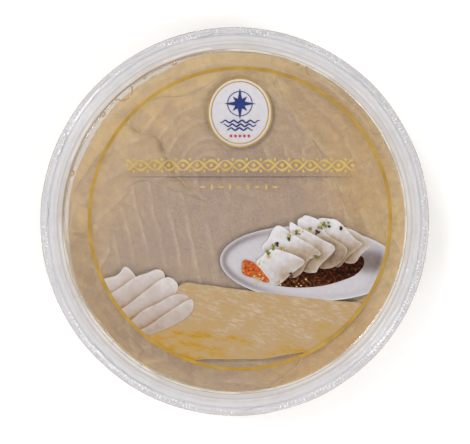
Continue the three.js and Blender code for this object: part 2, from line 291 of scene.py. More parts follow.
def lathe(section, segments):
    """A closed section of (radius, height) points, from the axis round to the axis, turned about Z."""
    section = np.array(section)
    rings = section[1:-1]
    angle = np.arange(segments) * 2 * np.pi / segments
    x, y = np.outer(rings[:, 0], np.cos(angle)), np.outer(rings[:, 0], np.sin(angle))
    z = np.repeat(rings[:, 1, None], segments, 1)
    poles = [(0, 0, section[0, 1]), (0, 0, section[-1, 1])]
    points = np.concatenate([poles, np.stack([x, y, z], 2).reshape(-1, 3)])
    at = 2 + np.arange(len(rings) * segments).reshape(len(rings), segments)
    beside = np.roll(at, -1, 1)
    a, b, c, d = (ids.ravel() for ids in (at[:-1], beside[:-1], beside[1:], at[1:]))
    pole = np.zeros(segments, int)
    faces = [(pole, beside[0], at[0]), (a, b, c), (a, c, d), (pole + 1, at[-1], beside[-1])]
    return {"points": points, "faces": np.concatenate([np.stack(face, 1) for face in faces])}


def rounded(section, cut=CORNER, steps=3, gentle=20):
    """A section with its corners rounded off. A corner that turns by fewer degrees than gentle stays."""
    section = np.array(section, float)
    smooth = [section[0]]
    for before, corner, after in zip(section, section[1:], section[2:]):
        turn = Vector(corner - before).angle(Vector(after - corner))
        if math.degrees(turn) < gentle:
            smooth.append(corner)
            continue
        sides = []
        for other in (before, after):
            length = np.linalg.norm(other - corner)
            sides.append(corner + (other - corner) * min(cut / length, 0.45))
        for t in np.linspace(0, 1, steps + 1):
            smooth.append(sides[0] * (1 - t) ** 2 + corner * 2 * t * (1 - t) + sides[1] * t**2)
    return np.array(smooth + [section[-1]])


def dense(section, step_at):
    """A section with points added, so that none is longer than step_at(radius) from the next."""
    filled = [section[0]]
    for start, end in zip(section, section[1:]):
        step = step_at(min(start[0], end[0]))
        count = max(1, math.ceil(np.linalg.norm(end - start) / step))
        filled += [start + (end - start) * k / count for k in range(1, count + 1)]
    return np.array(filled)


def at_height(places, height):
    return np.column_stack([places, np.full(len(places), height)])


def prism(loop, bottom, top, tone=0.5):
    """A closed flat part with upright sides, for an outline that its middle can see all of."""
    loop = anticlockwise(np.array(loop, float))
    count = len(loop)
    middle = loop.mean(0)
    places = np.concatenate([loop, [middle]])
    points = np.concatenate([at_height(places, bottom), at_height(places, top)])
    here = np.arange(count)
    beyond = np.roll(here, -1)
    lift = count + 1
    faces = [
        np.stack([np.full(count, count), beyond, here], 1),
        np.stack([np.full(count, count + lift), here + lift, beyond + lift], 1),
        np.stack([here, beyond, beyond + lift], 1),
        np.stack([here, beyond + lift, here + lift], 1),
    ]
    return {"points": points, "faces": np.concatenate(faces), "tone": np.full(len(points), tone)}


def ribbon(path, width, bottom, top, closed=False, tone=0.5):
    """A flat closed strip along a path. The width is one number, or one for each point."""
    path = np.array(path, float)
    along = np.roll(path, -1, 0) - np.roll(path, 1, 0) if closed else np.gradient(path, axis=0)
    side = np.stack([-along[:, 1], along[:, 0]], 1)
    side *= np.reshape(width, (-1, 1)) / 2 / np.linalg.norm(side, axis=1, keepdims=True)
    rails = [(path - side, bottom), (path + side, bottom), (path + side, top), (path - side, top)]
    points = np.stack([at_height(*rail) for rail in rails], 1).reshape(-1, 3)
    count = len(path)
    here = np.arange(count if closed else count - 1)
    beyond = (here + 1) % count
    faces = []
    for k in range(4):
        a, b = here * 4 + k, here * 4 + (k + 1) % 4
        c, d = beyond * 4 + (k + 1) % 4, beyond * 4 + k
        faces += [np.stack([a, b, c], 1), np.stack([a, c, d], 1)]
    if not closed:
        last = (count - 1) * 4
        faces.append(np.array([(0, 2, 1), (0, 3, 2), (last, last + 1, last + 2), (last, last + 2, last + 3)]))
    return {"points": points, "faces": np.concatenate(faces)[:, ::-1], "tone": np.full(len(points), tone)}


def joined(parts):
    shifts = np.cumsum([0] + [len(part["points"]) for part in parts])
    whole = {name: np.concatenate([part[name] for part in parts]) for name in parts[0]}
    whole["faces"] = np.concatenate([part["faces"] + shift for part, shift in zip(parts, shifts)])
    return whole


def new_piece(name, part, material, slot, *nodes, crease=70):
    """A piece of the object, which stands for the nodes. Edges sharper than the crease stay sharp."""
    points, faces = part["points"], part["faces"]
    mesh = bpy.data.meshes.new(name)
    mesh.vertices.add(len(points))
    mesh.vertices.foreach_set("co", (points * MM).ravel())
    mesh.loops.add(faces.size)
    mesh.loops.foreach_set("vertex_index", faces.ravel().astype(np.int32))
    mesh.polygons.add(len(faces))
    mesh.polygons.foreach_set("loop_start", np.arange(0, faces.size, 3))
    mesh.polygons.foreach_set("use_smooth", np.full(len(faces), True))
    for trait in sorted(part.keys() - {"points", "faces"}):
        mesh.attributes.new(trait, "FLOAT", "POINT").data.foreach_set("value", part[trait])
    mesh.update(calc_edges=True)
    mesh.set_sharp_from_angle(angle=math.radians(crease))
    mesh.materials.append(material)
    piece = bpy.data.objects.new(name, mesh)
    bpy.context.scene.collection.objects.link(piece)
    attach(piece, "root")
    if nodes:
        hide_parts(*nodes)
    return piece


# --- Materials ---
LIGHT = 1.27  # how bright the lamps and the sky make a white surface that faces up


def rgb(red, green, blue):
    """A colour as a screen shows it, 0 to 255, in the linear form that shaders take."""
    shares = [value / 255 for value in (red, green, blue)]
    linear = [s / 12.92 if s <= 0.04045 else ((s + 0.055) / 1.055) ** 2.4 for s in shares]
    return (*linear, 1.0)


def seen(red, green, blue):
    """The colour of a surface that faces up and is to look like this on the screen."""
    return (*(share / LIGHT for share in rgb(red, green, blue)[:3]), 1.0)


class Value:
    """What a shader node gives. It is added, multiplied and divided like a number."""

    def __init__(self, look, socket):
        self.look, self.socket = look, socket

    def __add__(self, other):
        return self.look.math("ADD", self, other)

    def __sub__(self, other):
        return self.look.math("SUBTRACT", self, other)

    def __mul__(self, other):
        return self.look.math("MULTIPLY", self, other)

    def __truediv__(self, other):
        return self.look.math("DIVIDE", self, other)


class Look:
    """A material and the few kinds of node that the looks here are built from."""

    def __init__(self, name, **constants):
        self.material = bpy.data.materials.new(name)
        self.material.use_nodes = True
        self.tree = self.material.node_tree
        self.shader = self.tree.nodes["Principled BSDF"]
        self.set(**constants)

    def put(self, socket, value):
        if isinstance(value, Value):
            self.tree.links.new(value.socket, socket)
        else:
            socket.default_value = value

    def set(self, **sockets):
        """Sets the shader's own sockets. An underscore stands for a space in a socket's name."""
        for name, value in sockets.items():
            self.put(self.shader.inputs[name.replace("_", " ")], value)

    def node(self, kind, output, inputs=(), **settings):
        """What a new node gives at one of its outputs."""
        made = self.tree.nodes.new("ShaderNode" + kind)
        for key, value in settings.items():
            setattr(made, key, value)
        for key, value in dict(inputs).items():
            self.put(made.inputs[key], value)
        return Value(self, made.outputs[output])

    def place(self):
        return self.node("TexCoord", "Object")

    def across(self):
        """The two level coordinates, in metres."""
        return [self.node("SeparateXYZ", axis, {0: self.place()}) for axis in ("X", "Y")]

    def radius(self):
        """The distance from the tub's axis, in millimetres."""
        x, y = self.across()
        return self.math("SQRT", x * x + y * y) / MM

    def trait(self, name):
        return self.node("Attribute", "Fac", attribute_name=name)

    def math(self, operation, first, second=0.0):
        return self.node("Math", 0, {0: first, 1: second}, operation=operation)

    def most(self, first, second):
        return self.math("MAXIMUM", first, second)

    def between(self, value, low, high, to_low=0.0, to_high=1.0):
        """Goes smoothly from to_low to to_high as the value goes from low to high."""
        inputs = {"Value": value, "From Min": low, "From Max": high, "To Min": to_low, "To Max": to_high}
        return self.node("MapRange", "Result", inputs, interpolation_type="SMOOTHSTEP")

    def near(self, value, target, full, none):
        """1 where the value is this near to the target, and 0 where it is further off than none."""
        return self.between(self.math("ABSOLUTE", value - target), full, none, 1.0, 0.0)

    def mix(self, share, first, second):
        return self.node("Mix", 2, {0: share, 6: first, 7: second}, data_type="RGBA")

    def noise(self, length, detail=2.0, place=None, rough=0.5, bend=0.0):
        """Noise with bumps about this long, or in the place's own unit where one is given."""
        scale = 1 / length if place else 1 / (length * MM)
        inputs = {"Vector": place or self.place(), "Scale": scale, "Detail": detail, "Roughness": rough}
        return self.node("TexNoise", "Fac", {**inputs, "Distortion": bend})

    def ramp(self, value, stops):
        """A colour ramp through (position, colour) stops."""
        made = self.node("ValToRGB", "Color", {"Fac": value})
        elements = made.socket.node.color_ramp.elements
        while len(elements) < len(stops):
            elements.new(0.5)
        for element, (position, colour) in zip(elements, stops):
            element.position = position
            element.color = colour
        return made

    def bump(self, height, depth, strength):
        inputs = {"Height": height, "Distance": depth * MM, "Strength": strength}
        self.set(Normal=self.node("Bump", "Normal", inputs))

    def lit_through(self, tint, surface=None):
        """Lets light straight through on its way to what lies behind, and keeps the gloss."""
        surface = surface or Value(self, self.shader.outputs[0])
        shadow, diffuse = (self.node("LightPath", ray) for ray in ("Is Shadow Ray", "Is Diffuse Ray"))
        clear = self.node("BsdfTransparent", 0, {"Color": tint})
        mixed = self.node("MixShader", 0, {0: self.most(shadow, diffuse), 1: surface, 2: clear})
        self.put(self.tree.nodes["Material Output"].inputs["Surface"], mixed)


CLEAR = rgb(246, 246, 247)
CLOUD_COLOUR = rgb(238, 241, 255)  # of the tub's wall where cold oil clouds it
GAP_HEADING = 140  # degrees: the side where the fish leaves a gap, and the oil is cloudy
RIM_LINES = [  # radius, and the tint of the rim's plastic there: the milky plastic's own tint, with painted light and dark lines that stand in for its reflections and refraction
    (61.3, 252, 251, 249), (61.6, 232, 228, 224), (61.85, 182, 160, 142), (62.1, 235, 233, 232),
    (62.9, 238, 237, 238), (63.3, 230, 228, 230), (63.55, 206, 199, 204), (63.8, 238, 237, 240),
    (64.9, 226, 226, 229), (65.1, 237, 237, 239), (66.2, 222, 222, 226), (66.5, 206, 205, 210),
    (66.75, 230, 230, 233), (67.4, 226, 225, 229), (67.7, 232, 231, 235), (68.6, 218, 217, 220),
    (69.2, 232, 231, 234), (69.5, 202, 200, 203), (69.8, 180, 170, 164),
]
RIM_START = RIM_LINES[0][0]
RIM_TICKS = (67.2, 68.6)  # the ring of fine ticks, painted white as glints
OIL_LINE = 67.3  # where oil has crept under the rim in a wavy line
FOOT_LINE = 61.68  # the thin line at the foot of the panel's wall: brown over the gap beside the fish, and elsewhere a broken white painted highlight
SHINE_LINE = FOOT_LINE + 0.95
RING_BUMPS = 0.42  # half the distance between the fine rings of the rim, in mm
SMOOTH_PANEL = (56.0, 60.0)  # radii between which the panel's fine bumps fade
ROUGH_RIM = (62.4, 63.2)  # and those between which they come back
RINGED_RIM = (61.8, 62.4)  # and those between which the fine rings start


def plastic(name, haze, relief, finish):
    """Clear plastic that is a little milky. The finish adds what only its piece shows."""
    look = Look(name, IOR=1.49)
    milky = look.between(look.noise(9, 3), 0.3, 0.7, haze * 0.9, haze * 1.1)
    tint, milky, bumps = finish(look, milky, look.noise(0.8, 4))
    look.set(Base_Color=tint, Transmission_Weight=look.math("SUBTRACT", 1.0, milky))
    look.set(Roughness=look.between(look.noise(1.5, 3), 0.3, 0.7, 0.05, 0.13))
    look.bump(bumps, 0.02, relief)
    through = look.node("BsdfTranslucent", 0, {"Color": tint})
    surface = Value(look, look.shader.outputs[0])
    look.lit_through(rgb(248, 248, 248), look.node("MixShader", 0, {0: milky * 0.6, 1: surface, 2: through}))
    return look.material


def tub_finish(look, milky, bumps):
    clouded = look.trait("cloud") * look.between(look.noise(5, 3), 0.3, 0.6, 0.85, 1.0)
    return look.mix(clouded, CLEAR, CLOUD_COLOUR), look.most(milky, clouded), bumps


def lid_finish(look, milky, bumps):
    """Tinted rings on the rim, with painted light and dark lines among them, and the oil film, scratches,
    painted glints, painted outlines and painted highlights laid on them. The panel inside them is clearer.
    """
    radius = look.radius()
    shaken = radius + look.between(look.noise(9, 2), 0, 1, -0.11, 0.11)
    width = LID_RADIUS - RIM_START
    stops = [((at - RIM_START) / width, rgb(*tint)) for at, *tint in RIM_LINES]
    tint = look.ramp((shaken - RIM_START) / width, stops)
    tint, milky = laid_on(look, tint, milky, oil_film(look, radius), painted_glints_and_scratches(look, radius))
    milky = milky * look.between(radius, RIM_START, RIM_START + 0.8, 0.03, 1.0)
    tint, milky = laid_on(look, tint, milky, tab_lines(look), shine(look, shaken), foot_line(look, shaken))
    bumps = bumps * (look.between(radius, *SMOOTH_PANEL, 1.0, 0.05) + look.between(radius, *ROUGH_RIM))
    rings = look.math("PINGPONG", shaken, RING_BUMPS) * look.between(radius, *RINGED_RIM, 0.0, 2.5)
    return tint, milky, bumps + rings


def laid_on(look, tint, milky, *layers):
    """The tint and the milkiness with layers on them: where each lies, its colour and how milky it is."""
    for share, colour, cloud in layers:
        tint = look.mix(share, tint, colour)
        milky = look.most(milky, share * cloud)
    return tint, milky


def oil_film(look, radius):
    wavy = radius + look.between(look.noise(11, 2), 0.3, 0.7, -0.8, 0.8)
    film = look.near(wavy, OIL_LINE, 0.0, 0.28) * look.between(look.noise(24, 1), 0.45, 0.6, 0.0, 0.8)
    return film, rgb(170, 165, 170), 0.0


def painted_glints_and_scratches(look, radius):
    """The ring of ticks painted white as glints, and the pale scratches, where the trait is below 0."""
    x, y = look.across()
    unrolled = {"X": look.math("ARCTAN2", y, x) * 130.0, "Y": radius * 0.9}
    ticks = look.between(look.noise(1.0, 2, look.node("CombineXYZ", 0, unrolled)), 0.5, 0.64)
    inner, outer = RIM_TICKS
    ring = look.between(radius, inner - 0.3, inner) * look.between(radius, outer, outer + 0.4, 1, 0)
    # The ticks are painted glints.
    glints = ring * look.between(look.noise(17, 2), 0.36, 0.52, 0.1, 0.9) * ticks
    return look.most(glints, look.trait("painted_outline_and_scratch") * -1.0), rgb(250, 250, 251), 0.7


def tab_lines(look):
    # The brown lines round the tabs and nubs are painted refraction of the fish at their edges.
    return look.between(look.trait("painted_outline_and_scratch"), 0.06, 0.4), seen(204, 172, 126), 0.6


def shine(look, shaken):
    """A painted highlight: a broken bright line just outside the foot of the panel's wall."""
    broken = look.between(look.noise(32, 2), 0.44, 0.56, 0.0, 0.5)
    return broken * look.near(shaken, SHINE_LINE, 0.2, 0.5), rgb(252, 252, 252), 1.0


def foot_line(look, shaken):
    # Brown over the gap beside the fish; elsewhere a broken white painted highlight.
    x, y = look.across()
    turn = math.radians(GAP_HEADING)
    toward = (x * math.cos(turn) + y * math.sin(turn)) / MM / look.radius()
    gap_side = look.between(toward, 0.62, 0.8)
    broken = look.between(look.noise(15, 2), 0.35, 0.55, 0.35, 1.0)
    line = look.near(shaken, FOOT_LINE, 0.08, 0.2) * look.most(broken, gap_side)
    return line, look.mix(gap_side, rgb(250, 250, 250), seen(184, 156, 132)), 0.85


# --- The lid and the tub ---
LID_SEGMENTS = 820
TUB_SEGMENTS = 480
TUB_WARP = 0.0008  # how much wider or narrower the tub is here and there, as a share
CLOUD_LEVELS = (13, 18)  # heights between which the cloudy oil ends
FLAT_STEP = 8  # the longest step of a section where it is flat
BEAD_TOP = SKIRT_FOOT + 1.1
BEAD_SLOPE = 0.4
RIDGE_SLOPE = 0.3
RIPPLE = 0.05  # how far the rim's plastic waves in and out
WARP = 0.04  # and up and down
TICK_DEPTHS = (-0.16, 0.12)  # of the ticks on the skirt, outside and inside


def shoulder(reach, rise, steps=8):
    turn = np.linspace(0, np.pi / 2, steps + 1)
    return [(RIM_OUTER + reach * np.cos(t), SKIRT_TOP + rise * np.sin(t)) for t in turn]


def lid_steps(radius):
    if radius > RIM_INNER:
        return 0.6
    return 0.28 if radius >= TAB_ZONE - 1 else FLAT_STEP


def lid_part():
    under, rim_under = PANEL_TOP - WALL, RIM_TOP - WALL
    skirt = LID_RADIUS - BEAD
    reach, rise = skirt - RIM_OUTER, RIM_TOP - SKIRT_TOP
    inside = rounded([
        (0, under), (PANEL_RADIUS + WALL, under), (RIM_INNER + WALL, rim_under),
        *shoulder(reach - WALL, rise - WALL)[::-1], (skirt - WALL, SKIRT_FOOT), (skirt, SKIRT_FOOT),
    ])
    outside = rounded([
        (skirt, SKIRT_FOOT), (LID_RADIUS, SKIRT_FOOT), (LID_RADIUS, BEAD_TOP),
        (skirt, BEAD_TOP + BEAD_SLOPE), *shoulder(reach, rise)[:-1],
        (RIM_OUTER, RIM_TOP), (RIM_OUTER - RIDGE_SLOPE, HEIGHT), (RIM_OUTER - RIDGE_WIDTH, HEIGHT),
        (RIM_OUTER - RIDGE_WIDTH - RIDGE_SLOPE, RIM_TOP), (RIM_INNER, RIM_TOP), (PANEL_RADIUS, PANEL_TOP),
        (TAB_ZONE, PANEL_TOP), (0, PANEL_TOP),
    ])
    coarse = dense(inside, lambda radius: 2.0 if radius > PANEL_RADIUS - 1 else FLAT_STEP)
    part = lathe(np.concatenate([coarse, dense(outside[1:], lid_steps)]), LID_SEGMENTS)
    points = part["points"]
    on_top = np.zeros(len(points), bool)
    on_top[2 + (len(coarse) - 1) * LID_SEGMENTS:] = True
    part["painted_outline_and_scratch"] = mould(points, on_top)
    return part


def arc(angle, degrees):
    """The distance along the panel's edge from a heading in degrees."""
    turn = (angle - math.radians(degrees) + np.pi) % (2 * np.pi) - np.pi
    return turn * PANEL_RADIUS


def soft_line(distance, width=0.22):
    return np.exp(-((distance / width) ** 2))


def tabs(angle, radius):
    """How high the thumb tab and the pull tab stand, and how strong the painted line round them is, which
    stands in for the fish refracted at their edges.
    """
    inward = (PANEL_RADIUS - radius) * THUMB_TAB["flatter"]
    thumb = THUMB_TAB["radius"] - np.hypot(arc(angle, THUMB_TAB["angle"]), inward)
    corner = PULL_TAB["corner"]
    length = math.radians(PULL_TAB["half_turn"]) * PANEL_RADIUS
    past_end = np.abs(arc(angle, PULL_TAB["middle"])) - length + corner
    past_side = PULL_TAB["inner"] + corner - radius
    pull = corner - np.hypot(np.maximum(past_end, 0), np.maximum(past_side, 0))
    thumb_raised = THUMB_TAB["raised"] * smoothstep(thumb, 0, 0.8)
    pull_raised = PULL_TAB["raised"] * smoothstep(pull, 0, 0.9)
    at_end = 0.35 + 0.65 * smoothstep(past_end, -1.5, 0.5)
    outline = soft_line(thumb - 0.35) + 0.9 * at_end * soft_line(pull - 0.4, 0.24)
    return np.maximum(thumb_raised, pull_raised), outline


def add_nubs(angle, radius, raised, outline):
    for degrees, size in NUBS:
        beside, inward = arc(angle, degrees), PANEL_RADIUS - radius
        narrow = np.clip(1 - np.abs(beside) / NUB["half_width"] / size, 0, 1)
        nub = narrow * np.clip(1 - inward / NUB["reach"] / size, 0, 1)
        raised = np.maximum(raised, NUB["high"] * size * nub)
        # A painted refraction line round the nub.
        ring = np.hypot(beside, 0.3 - inward) - 0.85 * size
        outline = outline + 0.9 * soft_line(ring) * (inward > 0)
    return raised, outline


def pushed(angle, radius, z, on_top):
    """How far out ribs, ripples and ticks push each point."""
    push = (radius > RIM_INNER - 1) * RIPPLE * around(angle, 5, 3, 26)
    on_wall = on_top & (z > PANEL_TOP + 0.2) & (radius < RIM_INNER + 0.3)
    for degrees in RIB_ANGLES:
        rib = smoothstep(RIB["half_width"] - np.abs(arc(angle, degrees)), 0, 0.4)
        push -= on_wall * RIB["reach"] * rib
    skirt = smoothstep(radius, RIM_OUTER + 1.2, RIM_OUTER + 2.2) * smoothstep(z, SKIRT_FOOT, SKIRT_FOOT + 0.6)
    ticks = np.maximum(around(angle, 7, 150, 330), 0) * smoothstep(around(angle, 8, 6, 22), -0.5, 0.6)
    return push + skirt * np.where(on_top, *TICK_DEPTHS) * ticks


def mould(points, on_top):
    """Raises the tabs, nubs and ribs, and gives the plastic its slight unevenness.

    Returns how strongly each point shows the painted line round a tab or a nub, or below 0 a pale scratch.
    """
    x, y, z = points.T
    radius, angle = np.hypot(x, y), np.arctan2(y, x)
    raised, outline = add_nubs(angle, radius, *tabs(angle, radius))
    low = on_top & (radius < RIM_INNER) & (radius > TAB_ZONE)
    z[low] = np.where(raised > 0.01, np.maximum(z, PANEL_TOP + raised), z)[low]
    painted_outline_and_scratch = np.clip(outline, 0, 1) * low * (radius < PANEL_RADIUS + 0.4)
    for degrees, start, end in SCRATCHES:
        bent = arc(angle, degrees) + 0.12 * (radius - start) ** 2
        painted_outline_and_scratch -= on_top * soft_line(bent) * ((radius > start) & (radius < end))
    share = 1 + pushed(angle, radius, z, on_top) / np.maximum(radius, 1)
    z += (radius > RIM_INNER - 1) * WARP * around(angle, 9, 4, 30)
    points[:, :2] *= share[:, None]
    return painted_outline_and_scratch


def wall_inside(height):
    """The radius of the tub's inner wall, which leans out from the floor to the mouth."""
    share = (height - BASE_INSIDE) / (TUB_RIM - BASE_INSIDE)
    return WALL_FOOT_RADIUS + (MOUTH_RADIUS - WALL_FOOT_RADIUS) * share


def tub_part():
    flange_under = TUB_RIM - FLANGE_DEPTH
    section = rounded([
        (0, BASE_UNDER), (FOOT_INNER - 0.5, BASE_UNDER), (FOOT_INNER, 0), (FOOT_OUTER, 0),
        (WALL_FOOT_RADIUS + 0.4, BASE_UNDER), (wall_inside(flange_under) + WALL, flange_under),
        (FLANGE_RADIUS, flange_under), (FLANGE_RADIUS, TUB_RIM), (MOUTH_RADIUS, TUB_RIM),
        (WALL_FOOT_RADIUS - 0.1, BASE_INSIDE), (0, BASE_INSIDE),
    ])
    part = lathe(dense(section, lambda radius: 1.2 if radius > FOOT_INNER - 2 else FLAT_STEP), TUB_SEGMENTS)
    x, y, z = part["points"].T
    angle = np.arctan2(y, x)
    share = 1 + smoothstep(np.hypot(x, y), 40, 58) * TUB_WARP * around(angle, 11, 3, 24)
    part["points"][:, :2] *= share[:, None]
    toward = np.cos(angle - math.radians(GAP_HEADING))
    inner_face = (z > BASE_INSIDE + 0.3) & (np.hypot(x, y) < wall_inside(z) + 0.3)
    below = 1 - smoothstep(z, *CLOUD_LEVELS)
    part["cloud"] = smoothstep(toward, 0.6, 0.8) * below * inner_face
    return part


# --- The fish ---
def fish_edge(angle):
    radius = np.full(np.shape(angle), FISH_RADIUS)
    for lobes, size, phase in FISH_WAVES:
        radius = radius + size * np.cos(lobes * angle - math.radians(phase))
    return radius


def fish_top(places):
    x, y = places.T
    dips = np.sin(x / SWELL_LENGTH + 1) + np.cos((y - x / 2) / SWELL_LENGTH)
    return FISH_TOP - SWELL_DEPTH * (1 - dips / 2)


def track(path, radius, amount, step=1.5):
    """Soft patches in a row along a path."""
    spots = []
    for start, end in zip(path, path[1:]):
        start, end = np.array(start, float), np.array(end, float)
        count = max(1, round(np.linalg.norm(end - start) / step))
        spots += [(tuple(start + (end - start) * k / count), radius, amount) for k in range(count)]
    return spots


def patches(places, spots):
    """How strongly soft patches cover each place, 0 to 1."""
    total = np.zeros(len(places))
    for middle, radius, amount in spots:
        total += amount * np.exp(-np.sum((places - middle) ** 2, 1) / (radius * 0.75) ** 2)
    return np.clip(total, 0, 1)


def ragged(loop, seed):
    """An outline with the small bays and tongues of a hand-cut slice."""
    loop = anticlockwise(loop)
    size = 0.4 * waves(loop, seed, 19) + 0.15 * waves(loop, seed + 1, 6) + 0.1 * waves(loop, seed + 2, 2.6)
    return loop + normals_in(loop) * size[:, None]


def slice_loops():
    loops = {}
    for seed, (name, facts) in enumerate(SLICES.items(), 20):
        loop = ragged(closed_curve(facts["outline"]), seed)

        def frayed(angle):
            return fish_edge(angle) - 0.2 - 0.14 * around(angle, seed, 5, 40)
        loops[name] = anticlockwise(drawn_in(loop, np.zeros(2), frayed))
    return loops


def thickness(name, places, depth):
    edge = SLICES[name]["edge"] + CRACK_STEP * patches(places, track(CRACK, 4, 0.5))
    return edge + (MIDDLE_THICKNESS - edge) * smoothstep(depth, 0, TAPER)


def lift(name, places, loops):
    """How much room a slice takes from those below it at each place."""
    depth = depth_inside(places, loops[name], TAPER)
    return smoothstep(depth, -DRAPE_FAR, -DRAPE_NEAR) * (thickness(name, places, depth) + LAY_GAP)


def flake_count(places, flakes):
    """Counts the flakes outward from the foot of their axis. The lines between them are at whole numbers."""
    x, y, heading, spacing, lean = flakes
    turn = math.radians(heading)
    across = (places[:, 0] - x) * math.cos(turn) + (places[:, 1] - y) * math.sin(turn)
    along = (places[:, 1] - y) * math.cos(turn) - (places[:, 0] - x) * math.sin(turn)
    across = across + lean * np.minimum(along, 0)
    count = np.hypot(across * 1.05, np.maximum(along, 0)) / spacing
    return count + 0.12 * waves(places, int(spacing * 10), 30) - 0.07


# Soft patches of the flesh: middle, radius and strength.
PATCHES = {
    "golden": [
        ((-34, 48), 26, 0.9), ((-52, 24), 18, 0.9), ((-58, 0), 11, 0.8), ((-8, 57), 22, 0.8),
        ((12, 54), 14, 0.8), ((-58, -12), 8, 0.5), ((59, 6), 12, 1.0), ((57, -12), 11, 0.9),
        ((54, 24), 12, 0.5), ((40, 24), 14, 0.4), ((-34, 40), 14, 0.4), ((-40, 8), 10, 0.3),
        *track([(55, 22), (57.5, 16), (59, 10)], 2.8, 0.4), ((54, -24), 10, 1.0), ((57, -12), 9, 0.9),
        *track([(55, -15), (56.5, -8), (55.5, 0)], 2.5, 0.3),
    ],
    "amber": [
        ((52, 28), 14, 0.55), ((42, 42), 12, 0.5), ((26, 52), 10, 0.3), ((43, 8), 13, 0.8),
        ((36, 30), 14, 0.4), ((16, -57), 15, 0.8), ((24, -54), 8, 0.8), ((34, -49), 14, 1.0),
        ((45, -39), 12, 0.8), ((-57, -20), 10, 0.7), ((-48, -36), 12, 0.8), ((-34, -50), 11, 0.7),
        ((-18, -57), 12, 0.3), ((-54.5, -4), 5, 0.5), ((-30, 30), 7, 0.4), ((-47, 8), 9, 0.35),
        ((-22, 42), 9, 0.25),
    ],
    # Brown specks and stains; the tracks along the margin are painted shade along its folds and slice edges.
    "brown": [
        ((-56, -28), 10, 0.45), ((16, 14), 16, 0.45), ((20, 24), 12, 0.3), ((38, 46), 14, 0.3),
        ((-42.7, 18.2), 3.2, 0.6), ((-48.5, 22.5), 2.0, 0.9), ((-23, 39.8), 2.2, 0.5),
        ((-11.4, 5.6), 2.6, 0.8), ((-17, 11), 2.2, 0.5), ((-56, 12), 3, 0.4), ((30, -2), 2.5, 0.4),
        ((16, 8), 2.2, 0.35), ((45, 8), 2.0, 0.4), ((60, 36), 10, 0.3),
        *track([(-59, -8), (-55, -20), (-50, -29), (-44, -38), (-32, -47), (-18, -53), (-2, -58)], 3.4, 0.22),
        *track([(-59.5, 6), (-59, -2), (-57.5, -10)], 2.8, 0.45),
        *track([(11, -60), (19, -56), (24, -52.5)], 1.8, 0.3), ((-52, -28), 13, 0.5),
        ((-38, -44), 13, 0.4), ((-16, -56), 13, 0.4), ((4, -59), 12, 0.6), ((-59, -8), 8, 0.5),
        *track([(-30, -53), (-12, -59.5), (8, -60), (20, -57)], 3.0, 0.1),
    ],
    "grey": [
        ((-14, 2), 26, 0.85), ((8, 10), 20, 0.7), ((-30, -8), 20, 0.5), ((4, -14), 26, 0.75),
        ((-34, 14), 12, 0.4), ((0, 28), 14, 0.4), ((22, 6), 14, 0.5), ((-4, -60), 12, 0.5),
    ],
    "pale": [
        ((15, 52), 6, 0.8), ((21, 40), 6, 0.9), ((29, 28), 6, 0.8), ((37, 11), 7, 0.8), ((45, -8), 7, 0.7),
        ((-44, 44), 14, 0.4), ((-20, 58), 12, 0.4), ((58, 10), 6, 0.6),
    ],
    "plain": [((10, 4), 22, 0.9), ((26, 2), 16, 0.6), ((2, -12), 12, 0.4)],  # where the flakes' lines fade
    "line": [
        *track([(0, 11.6), (5.7, 10.7), (13, 8.3), (20.2, 6.4)], 1.7, 0.22, 1.2),
        *track([(-4, 8), (-4.4, 0), (-3.4, -7)], 1.7, 0.16, 1.2), *track([(4, 5), (5.6, -3)], 1.8, 0.12, 1.2),
    ],
    # Brown along the crack: partly the slice's edge colour, partly painted shade in the gap between the
    # slices.
    "crack": [
        ((-19.3, 14.6), 1.9, 0.5), ((-11.4, 5.6), 2.4, 0.5), *track(CRACK, 1.3, 0.6, 0.8),
        *track([(-29, 39.5), (-22, 38.6), (-15, 38.4), (-10, 37.6)], 1.5, 0.1, 0.9),
    ],
}

def slice_part(name, loops, pitch):
    places, faces = fill(loops[name], pitch)
    order = list(loops)
    here = order.index(name)
    depth = depth_inside(places, loops[name], TAPER + 1)
    over = sum((lift(other, places, loops) for other in order[here + 1:]), np.zeros(len(places)))
    top = fish_top(places) - over
    bottom = top - thickness(name, places, depth)
    flake = flake_count(places, SLICES[name]["flakes"])
    from_line = np.abs((flake + 0.5) % 1 - 0.5)
    relief = GROOVE * (1 - smoothstep(from_line, 0, 0.16)) * (1 - 0.8 * patches(places, PATCHES["plain"]))
    relief += WRINKLE * (0.5 + 0.5 * waves(places, here + 60, 9)).clip(0, 1.5)
    relief = np.minimum(relief, 0.5 * (top - bottom))
    middle = (top + bottom) / 2
    swell = np.sqrt(1 - (1 - np.clip(depth / LIP, 0, 1)) ** 2)
    top = middle + (top - middle) * swell - relief * swell
    bottom = middle + (bottom - middle) * swell
    traits = {kind: patches(places, spots) for kind, spots in PATCHES.items()}
    return cushion(places, faces, top, bottom, flake=flake, rim=np.maximum(depth, 0), **traits)


STACK_LAYERS = 6
STACK_NOTCH = 1.1
STACK_STEPS = 12  # rings in the edge of each layer
STACK_SEGMENTS = 360


